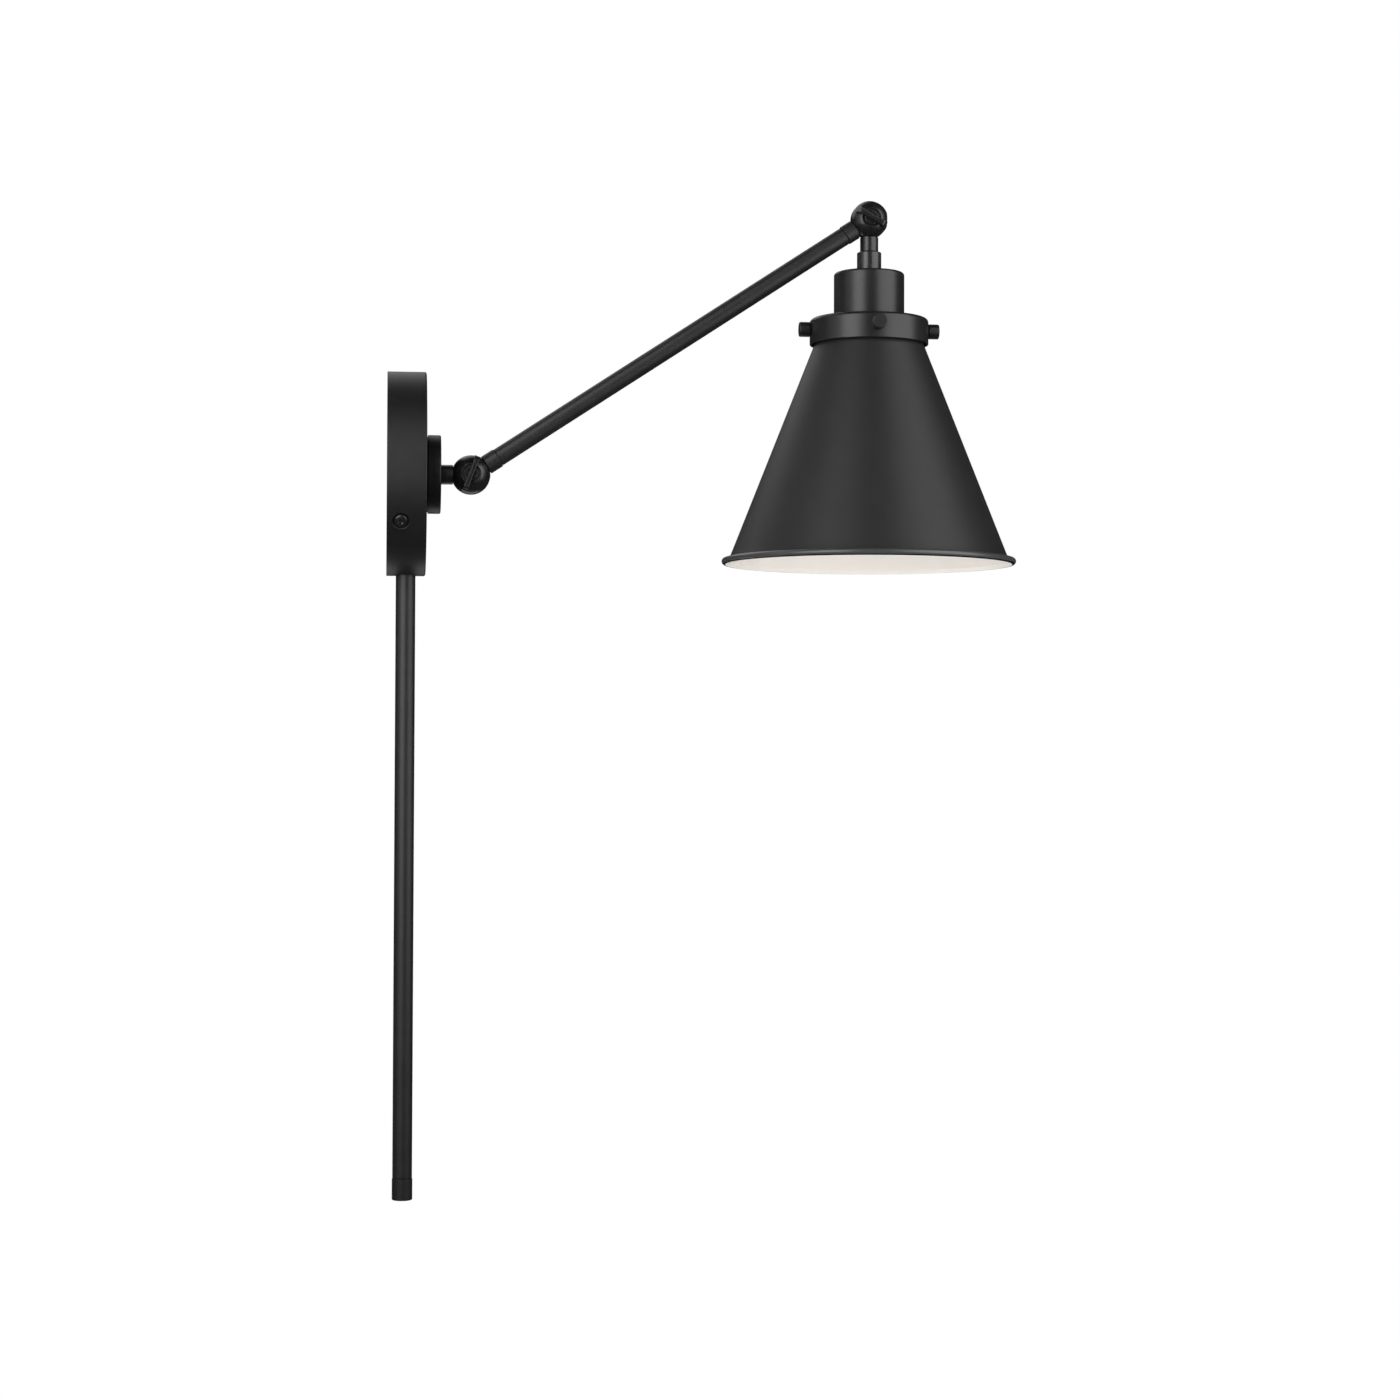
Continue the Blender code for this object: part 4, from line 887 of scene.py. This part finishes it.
def friction_washers(label, pivot):
    for side in ("near", "far"):
        node = f"{label}_friction_washer_{side}"
        start, end = -high(node).y, -low(node).y
        outline = ring(PIVOT_HOLE_R, 6.4, start, end, 0.1, 0.1)
        stand_turned(node, "disc", outline, FIBRE, lay_along(NEAR, pivot))


def key_bar(name, clear_r, half_length, place):
    """Bar waisted at its middle, with rounded top edges and sloping ends."""
    top, slope_start, slope = 14.6, 2.2, 1.4
    waist, flare = 1.5, 0.65
    steps = 28
    sections = []
    for step in range(-steps, steps + 1):
        share = step / steps
        share = math.copysign(1 - (1 - abs(share)) ** 1.6, share)
        x = half_length * share
        half = waist + flare * share * share
        past = max(0.0, abs(x) - half_length + slope_start)
        crown = top - slope * past * min(1.0, 0.35 + past / slope_start)
        under = math.sqrt(clear_r ** 2 - x ** 2) if abs(x) > 5.75 else 9.9
        under = min(under, crown - 0.5)
        ease = 0.45
        profile = [(-half, under), (-half, crown - 1.6 * ease), (-half + 0.12 * ease, crown - ease)]
        profile += [(-half + 0.5 * ease, crown - 0.35 * ease), (-half + 1.3 * ease, crown)]
        profile += [(-y, z) for y, z in reversed(profile)]
        sections.append([Vector((x, y, z)) for y, z in profile])
    bm = bmesh.new()
    rows = [[bm.verts.new(place @ (point * MM)) for point in section] for section in sections]
    count = len(rows[0])
    for before, here in zip(rows, rows[1:]):
        for index in range(count):
            following = (index + 1) % count
            bm.faces.new((before[index], before[following], here[following], here[index]))
    bm.faces.new(rows[0])
    bm.faces.new(rows[-1])
    return finished(name, bm, [KEY_BLACK])


def winged_key(label, pivot, ball_r, half_length, degrees):
    """Turned screw with a waisted bar across the ball's recess."""
    node = f"{label}_winged_key"
    base, top = 9.3, 10.6
    outline = rounded([(0, -8.8), (2, -8.8, 0.4), (2, base), (4.4, base, 0.2), (4.4, top, 0.4), (0, top)])
    key = turned(f"{node}_body", outline, [KEY_BLACK], lay_along(NEAR, pivot), SMALL)
    angle = math.radians(degrees)
    across = Vector((math.cos(angle), 0.0, math.sin(angle)))
    bar = key_bar(f"{node}_bar", ball_r + KEY_CLEARANCE, half_length, moved(*pivot) @ facing(across, NEAR))
    stand_for(carve(key, [bar], 'UNION'), node)


def undercut(radius, height):
    """Points that end a stem in a narrow dark groove below the ball."""
    core = radius - 0.9
    return [(radius, height, 0.3), (core, height), (core, -10.0), (2.4, -10.0)]


def lower_knuckle():
    shoulder = -(LOWER_PIVOT.x - high("swivel_boss").x - GAP)
    end = -(LOWER_PIVOT.x - low("lower_knuckle").x)
    stem = rounded([(2.4, end, 0.3), (4.8, end, 0.5), (4.8, shoulder), (STEM_R, shoulder, 0.3)]
                   + undercut(STEM_R, -11.2))
    slotted_ball("lower_knuckle", LOWER_PIVOT, LOWER_BALL_R, stem, -OUT_OF_WALL)
    along_x = lay_along(OUT_OF_WALL)
    washer("swivel_washer", STEM_BORE_R, 8.5, along_x, "x")
    hex_nut("swivel_nut", 8.1, STEM_BORE_R, along_x, "x")
    friction_washers("lower", LOWER_PIVOT)


def washer(node, bore, radius, place, along="z"):
    stand_turned(node, "disc", ring(bore, radius, *span(node, along), 0.3, 0.15), SMALL_ZINC, place)


def tongue(node, pivot, ball_r, direction, coupler_end):
    """Flat tongue on the pivot, with its coupler ring and the spigot inside the tube.

    The coupler's end is hollowed to follow the ball; the upper one is cut back beside the neck.
    """
    radius = 6.15
    near = ball_r + 0.4
    end = coupler_end + 14
    hollow = arc((0, 0), near, 90, math.degrees(math.acos(radius / near)), 14)
    hollow[0] = (0, near)
    outline = rounded(hollow[:-1] + [(*hollow[-1], 0.25), (radius, coupler_end, 0.4), (4.4, coupler_end),
                                     (4.4, end, 0.4), (2.4, end, 0.3), (2.4, near + 2), (0, near + 2)])
    place = lay_along(direction, pivot)
    body = turned(f"{node}_body", outline, [TUBE_BLACK], place)
    if direction.z < 0:
        trim(body, pivot - OUT_OF_WALL * (STEM_R + 0.45), OUT_OF_WALL)
    half_bar, disc_r = 3.2, 6.5
    lean = math.degrees(math.asin(half_bar / disc_r))
    flat = arc((0, 0), disc_r, 90 + lean, 450 - lean, 48)
    flat += [(half_bar, near + 1), (-half_bar, near + 1)]
    blade = prism(f"{node}_blade", flat, -1.9, 1.9, [BALL_BLACK], place, 0.2)
    body = carve(body, [blade], 'UNION')
    tool = hole_tool(PIVOT_HOLE_R, -10, 10, lay_along(NEAR, pivot))
    stand_for(carve(body, [tool]), node)


def arm():
    near_end, far_end = 20.0, 18.7
    tongue("lower_tongue", LOWER_PIVOT, LOWER_BALL_R, ARM_DIRECTION, near_end)
    tongue("upper_tongue", UPPER_PIVOT, UPPER_BALL_R, -ARM_DIRECTION, far_end)
    place = lay_along(ARM_DIRECTION, LOWER_PIVOT)
    tube = ring(4.7, 5.7, near_end + GAP, ARM_LENGTH - (far_end + GAP), 0.25, 0.25)
    stand_turned("arm_tube", "pipe", tube, TUBE_BLACK, place)
    core = ring(0, 1.8, 15.4, ARM_LENGTH - 15.0, 0.2, 0.2)
    stand_turned("arm_cable", "core", core, BLACK_WIRE, place, SMALL)


HEAD = moved(*HEAD_AXIS)


def upper_knuckle():
    neck_end = high("neck_coupling").z + GAP - UPPER_PIVOT.z
    end = low("upper_knuckle").z - UPPER_PIVOT.z
    neck = rounded([(2.4, end, 0.3), (4.4, end, 0.4), (4.4, neck_end), (NECK_R, neck_end, 0.3)]
                   + undercut(NECK_R, -11.1))
    slotted_ball("upper_knuckle", UPPER_PIVOT, UPPER_BALL_R, neck, -UP, UPPER_BALL_FLAT)
    washer("neck_washer", NECK_BORE_R, 8.0, HEAD)
    hex_nut("neck_nut", 6.9, NECK_BORE_R, HEAD)
    friction_washers("upper", UPPER_PIVOT)


# ---- head and shade

def coupling():
    outline = ring(NECK_BORE_R, 7.7, *span("neck_coupling", "z"), 0.35, 0.9)
    stand_turned("neck_coupling", "sleeve", outline, NECK_BLACK, HEAD)


def socket_cup():
    end, top = span("socket_cup", "z")
    seat = high("shade_collar").z + GAP
    radius, wall = 22.3, 1.2
    outline = rounded([(NECK_BORE_R, top), (radius, top, 2.0), (radius, seat, 0.25), (20.2, seat),
                       (20.2, end, 0.3), (18.9, end, 0.3), (18.9, seat + wall),
                       (radius - wall, seat + wall, 0.5), (radius - wall, top - wall, 1.0),
                       (NECK_BORE_R, top - wall)])
    stand_turned("socket_cup", "shell", outline, CUP_BLACK, HEAD, LARGE)
    nut = ring(20.5, 25.5, *span("collar_lock_ring", "z"), 0.3, 0.3)

    def knurled(radius, height, angle):
        return (radius + 0.15 * (math.cos(36 * angle) - 1) if radius > 25 else radius), height

    stand_turned("collar_lock_ring", "nut", nut, SMALL_ZINC, HEAD, 288, knurled)


THUMBSCREWS = {"outer": OUT_OF_WALL, "inner": -OUT_OF_WALL, "near": NEAR, "far": -NEAR}


def shade_collar():
    bottom, top = span("shade_collar", "z")
    radius, wall = 37.6, 1.5
    inner = radius - wall
    outline = rounded([(20.5, top), (radius, top, 2.6), (radius, bottom, 0.4), (inner, bottom, 0.4),
                       (inner, top - 1.2, 1.3), (20.5, top - 1.2)])
    collar = turned("shade_collar_ring", outline, [CUP_BLACK], HEAD, LARGE)
    height = laid("thumbscrew_near").z
    tools = [hole_tool(2.2, 30, 45, lay_along(outward, HEAD_AXIS + UP * height))
             for outward in THUMBSCREWS.values()]
    stand_for(carve(collar, tools), "shade_collar")
    for name, outward in THUMBSCREWS.items():
        node = f"thumbscrew_{name}"
        outline = rounded([(0, 34.7), (1.9, 34.7, 0.4), (1.9, 38), (4.7, 38, 0.3), (4.7, 44.7, 0.7),
                           (0, 44.7)])
        stand_turned(node, "head", outline, CUP_BLACK, lay_along(outward, HEAD_AXIS + UP * height), SMALL)


def shade():
    """Spun cone with a flared, rolled rim: satin black outside, white enamel inside."""
    thick, slope = 1.0, 0.394
    neck_r, lip_r, top = 34.4, 35.3, high("shade").z
    cone_top = Vector((34.85, 85.6))
    cone_end = Vector((cone_top.x + slope * (cone_top.y + 44), -44))
    bead = arc((90.95, -51.55), 2.05, 165, -150, 45)
    flare = soft(cone_end, cone_end + Vector((slope, -1.0)) * 5.3, bead[0], 14)
    inner_flare = beside([cone_top] + flare, thick)
    inner_r = neck_r - thick
    inner_z = inner_flare[0][1] + (inner_flare[0][0] - inner_r) / slope
    outer_z = cone_top.y + (cone_top.x - neck_r) / slope
    lip_z = top - 1.3
    corners = [(lip_r, top, 0.4), (lip_r, lip_z, 0.3), (neck_r, lip_z),
               (neck_r, outer_z, 2)] + flare + bead[1:] + inner_flare[::-1]
    corners += [(inner_r, inner_z, 2), (inner_r, top, 0.3)]
    outline = rounded(corners)
    # From the lip round: satin cone, glossier bead painted lighter as a highlight, painted shadow line
    # under it, enamel up the inside
    finishes = [SHADE_BLACK, RIM_GLOSS_AND_PAINTED_HIGHLIGHT, RIM_PAINTED_SHADOW_LINE, ENAMEL]
    changes = [outline.index(bead[step]) for step in (1, 30, 38)] + [len(outline) - 1]
    cone = turned("shade_cone", outline, finishes, HEAD, 256,
                  paint=lambda index: sum(index >= change for change in changes) % 4)
    stand_for(cone, "shade")


def threaded(low_z, high_z, depth):
    """Warp that rolls a screw thread into a thin sleeve, fading out at both ends."""
    pitch = 3.63

    def warp(radius, height, angle):
        share = smooth_step(height, low_z, low_z + pitch) - smooth_step(height, high_z - pitch, high_z)
        turn = 2 * math.pi * height / pitch - angle
        return radius + (depth * share * math.cos(turn) if radius > 10 else 0.0), height
    return warp


def sleeve_walls(radius, wall, start, end, rows):
    """Points up the outside of a thin straight sleeve, and points down its inside."""
    heights = [start + (end - start) * step / rows for step in range(rows + 1)]
    return [(radius, z) for z in heights], [(radius - wall, z) for z in reversed(heights)]


def lampholder():
    left, right = span("lampholder_bracket", "x")
    bracket_low, bracket_top = span("lampholder_bracket", "z")
    outline = ring(7.5, (right - left) / 2, bracket_low, bracket_top, 0.3, 0.2)
    bracket = turned("lampholder_bracket_plate", outline, [SMALL_ZINC], HEAD)
    bottom, top = span("lampholder_body", "z")
    body_r, cavity_r, cavity_top = 17.5, 14.6, 110
    groove = [(body_r, 104.5), (body_r, 104.0), (body_r - 0.6, 103.6), (body_r - 0.6, 102.6),
              (body_r, 102.2), (body_r, 101.7)]
    outline = rounded([(0, top), (body_r - 1.5, top, 0.5), (body_r, top - 1.5, 0.6)] + groove
                      + [(body_r, bottom + 5), (body_r, bottom, 0.8), (cavity_r, bottom, 0.6),
                         (cavity_r, cavity_top), (0, cavity_top)])
    body = turned("lampholder_body_shell", outline, [PHENOLIC], HEAD)
    shell_low, shell_top = span("lampholder_screw_shell", "z")
    wall = 0.5
    outside, inside = sleeve_walls(13.9, wall, shell_low, shell_top - 1, 70)
    shell = outside + [(13.4, shell_top), (6, shell_top), (6, shell_top - wall),
                       (13.2, shell_top - wall)] + inside
    thread = threaded(shell_low + 0.6, shell_top - 2, 0.38)
    stand_for(turned("lampholder_shell_thread", shell, [BRASS], HEAD, MEDIUM, thread),
              "lampholder_screw_shell")
    contact_low, contact_top = span("lampholder_contact", "z")
    outline = rounded([(0, contact_low), (2.6, contact_low, 0.4), (3.5, contact_top, 0.2),
                       (0, contact_top)])
    stand_turned("lampholder_contact", "tab", outline, BRASS, HEAD, SMALL)
    screw_places = []
    for label in ("outer", "inner"):
        node = f"lampholder_screw_{label}"
        place = moved(laid(node).x)
        seat = bracket_top + GAP
        tip, crown = span(node, "z")
        outline = rounded([(0, tip), (1.4, tip, 0.3), (1.4, seat), (2.6, seat, 0.2),
                           (2.6, crown - 0.6, 0.5), (1.6, crown, 0.3), (0, crown)])
        screw = turned(f"{node}_head", outline, [SMALL_ZINC], place, SMALL)
        slot_tool = prism("slot tool", [(-3, crown - 0.9), (3, crown - 0.9), (3, crown + 1),
                                        (-3, crown + 1)], -0.4, 0.4, [], place)
        stand_for(carve(screw, [slot_tool]), node)
        screw_places.append(place)
    for piece, node in ((bracket, "lampholder_bracket"), (body, "lampholder_body")):
        holes = [hole_tool(1.7, 111.6, 120, place) for place in screw_places]
        stand_for(carve(piece, holes), node)
    for name, mat, side in LEADS:
        route = [(0.0, 5.4, 115.0), (0.0, 5.4, 117.5), (0.0, 3.2, 120.2), (0.0, 1.3, 122.5)]
        points = [(UPPER_PIVOT.x + x, side * y, z) for x, y, z in route]
        lead(f"{name}_socket_lead", points, 0.9, mat)


def bulb():
    """Screw cap with a black insulator, and a smooth frosted envelope."""
    bottom, top = span("bulb_cap", "z")
    outside, inside = sleeve_walls(12.7, 0.4, bottom, 101, 60)
    insulator = [(8.6, 103.6), (8.2, 104), (4.8, 104.6)]
    tip = [(4.4, 105), (3.6, 106.2), (2.0, 106.9), (0, top)]
    outline = outside + [(12.2, 102)] + insulator + tip
    outline += [(0, 103), (7, 103), (11.6, 101.6)] + inside
    dark_from, dark_to = outline.index(insulator[0]), outline.index(insulator[-1])
    thread = threaded(bottom + 2, 101, 0.38)
    cap = turned("bulb_cap_thread", outline, [NICKEL, PHENOLIC], HEAD, MEDIUM, thread,
                 paint=lambda index: int(dark_from <= index < dark_to))
    stand_for(cap, "bulb_cap")

    centre, radius, glass = 28, 30, 0.8
    round_part = arc((0, centre), radius, -90, 28, 40)
    round_part[0] = (0.0, centre - radius)
    shoulder = [round_part[-4], round_part[-1], (20.6, 55.5), (15.6, 67), (12.7, 77), (11.7, 84),
                (11.6, 93)]
    taper = [tuple(point) for point in curved(shoulder, 7)[7:]]
    outer = round_part[:-1] + taper
    inner = [(0.0, centre - radius + glass)] + beside(outer, -glass)
    inner[-1] = (inner[-1][0], outer[-1][1])
    stand_turned("bulb_glass", "envelope", outer + inner[::-1], GLASS, HEAD, 128)


# ---- camera, light and floor

def camera():
    """Below the shade's rim, looking along the wall, up a little and turned a little to the right."""
    yaw, pitch, roll = (math.radians(angle) for angle in (6.02, 1.31, 0.21))
    forward = Vector((math.sin(yaw) * math.cos(pitch), math.cos(yaw) * math.cos(pitch), math.sin(pitch)))
    level = Vector((math.cos(yaw), -math.sin(yaw), 0.0))
    upright = level.cross(forward)
    right = level * math.cos(roll) + upright * math.sin(roll)
    above = upright * math.cos(roll) - level * math.sin(roll)
    data = bpy.data.cameras.new("Camera")
    data.sensor_width = 36.0
    data.lens = 77.14
    data.clip_end = 50.0
    obj = linked("Camera", data)
    matrix = Matrix((right, above, -forward)).transposed().to_4x4()
    place = (-0.0011, -1.8749, -0.1828)
    obj.matrix_world = Matrix.Translation(place) @ matrix
    bpy.context.scene.camera = obj


def panel(name, start, end, low_z, high_z, brightness):
    """Upright light between two points on the floor plan, facing the object."""
    start, end = Vector((*start, 0.0)), Vector((*end, 0.0))
    run = end - start
    aim = run.cross(UP).normalized()
    middle = (start + end) / 2 + UP * (low_z + high_z) / 2
    object_middle = Vector((0.2, 0.0, 0.0))
    if aim.dot(object_middle - middle) < 0:
        aim.negate()
    area_light(name, middle, -aim, run.length, high_z - low_z, brightness)


def area_light(name, middle, back, width, height, brightness):
    """Rectangular light of the given radiance, with its back along a direction."""
    data = bpy.data.lights.new(name, 'AREA')
    data.shape = 'RECTANGLE'
    data.size = width
    data.size_y = height
    data.energy = brightness * math.pi * width * height
    obj = linked(name, data)
    obj.location = middle
    obj.rotation_euler = Vector(back).to_track_quat('Z', 'Y').to_euler()
    obj.visible_camera = False


def stage_piece(name, bm, brightness):
    """Evenly glowing white surface that isn't part of the object."""
    finish = Finish(f"{name}_white", (0.0, 0.0, 0.0), 0.5)
    finish.set(Specular_IOR_Level=0.0, Emission_Color=(1.0, 1.0, 1.0, 1.0), Emission_Strength=brightness)
    mesh = bpy.data.meshes.new(name)
    bm.to_mesh(mesh)
    bm.free()
    mesh.materials.append(finish.material)
    obj = linked(name, mesh)
    obj.visible_glossy = False
    obj.visible_transmission = False
    return obj


def stage_disc(name, radius, height, brightness, sides):
    bm = bmesh.new()
    bmesh.ops.create_circle(bm, cap_ends=True, segments=sides, radius=radius,
                            matrix=Matrix.Translation((0, 0, height)))
    return stage_piece(name, bm, brightness)


def studio():
    """Tall soft boxes left and right, two cards behind, and white all round for the camera.

    The floor and the backdrop are only seen by the camera; the bounce lights without being seen.
    """
    panel("Left soft box", (-0.10, -0.90), (-0.75, -0.55), -0.32, 1.00, 3.5)
    panel("Left edge box", (-0.80, -0.45), (-1.10, 0.10), -0.32, 1.00, 0.6)
    panel("Right soft box", (0.62, -0.90), (1.13, -0.10), -0.32, 1.00, 2.5)
    area_light("Low card", (-0.1, 0.85, -0.85), (-0.1, 0.70, -0.70), 1.2, 0.5, 1.2)
    area_light("Rear top card", (-0.55, 0.95, 1.05), (-0.38, 0.65, 0.66), 1.8, 1.2, 1.1)
    floor = stage_disc("floor", 9.0, -1.6, 1.0, MEDIUM)
    floor.visible_diffuse = False
    bounce = stage_disc("floor_bounce", 4.0, -1.55, 1.05, SMALL)
    bounce.visible_camera = False
    bm = bmesh.new()
    bmesh.ops.create_uvsphere(bm, u_segments=64, v_segments=32, radius=9.2)
    backdrop = stage_piece("backdrop", bm, 1.0)
    backdrop.visible_diffuse = False
    world = bpy.data.worlds.new("World")
    world.use_nodes = True
    world.node_tree.nodes["Background"].inputs["Color"].default_value = (0.03, 0.03, 0.03, 1.0)
    bpy.context.scene.world = world
    bpy.context.scene.view_settings.view_transform = "Standard"


camera()
wall_plate()
ground_screw()
canopy()
canopy_screws()
boss()
cord_cover()
canopy_wiring()
lower_knuckle()
winged_key("lower", LOWER_PIVOT, LOWER_BALL_R, 11.4, 69.0)
arm()
upper_knuckle()
winged_key("upper", UPPER_PIVOT, UPPER_BALL_R, 10.3, -29.0)
coupling()
socket_cup()
shade_collar()
shade()
lampholder()
bulb()
studio()
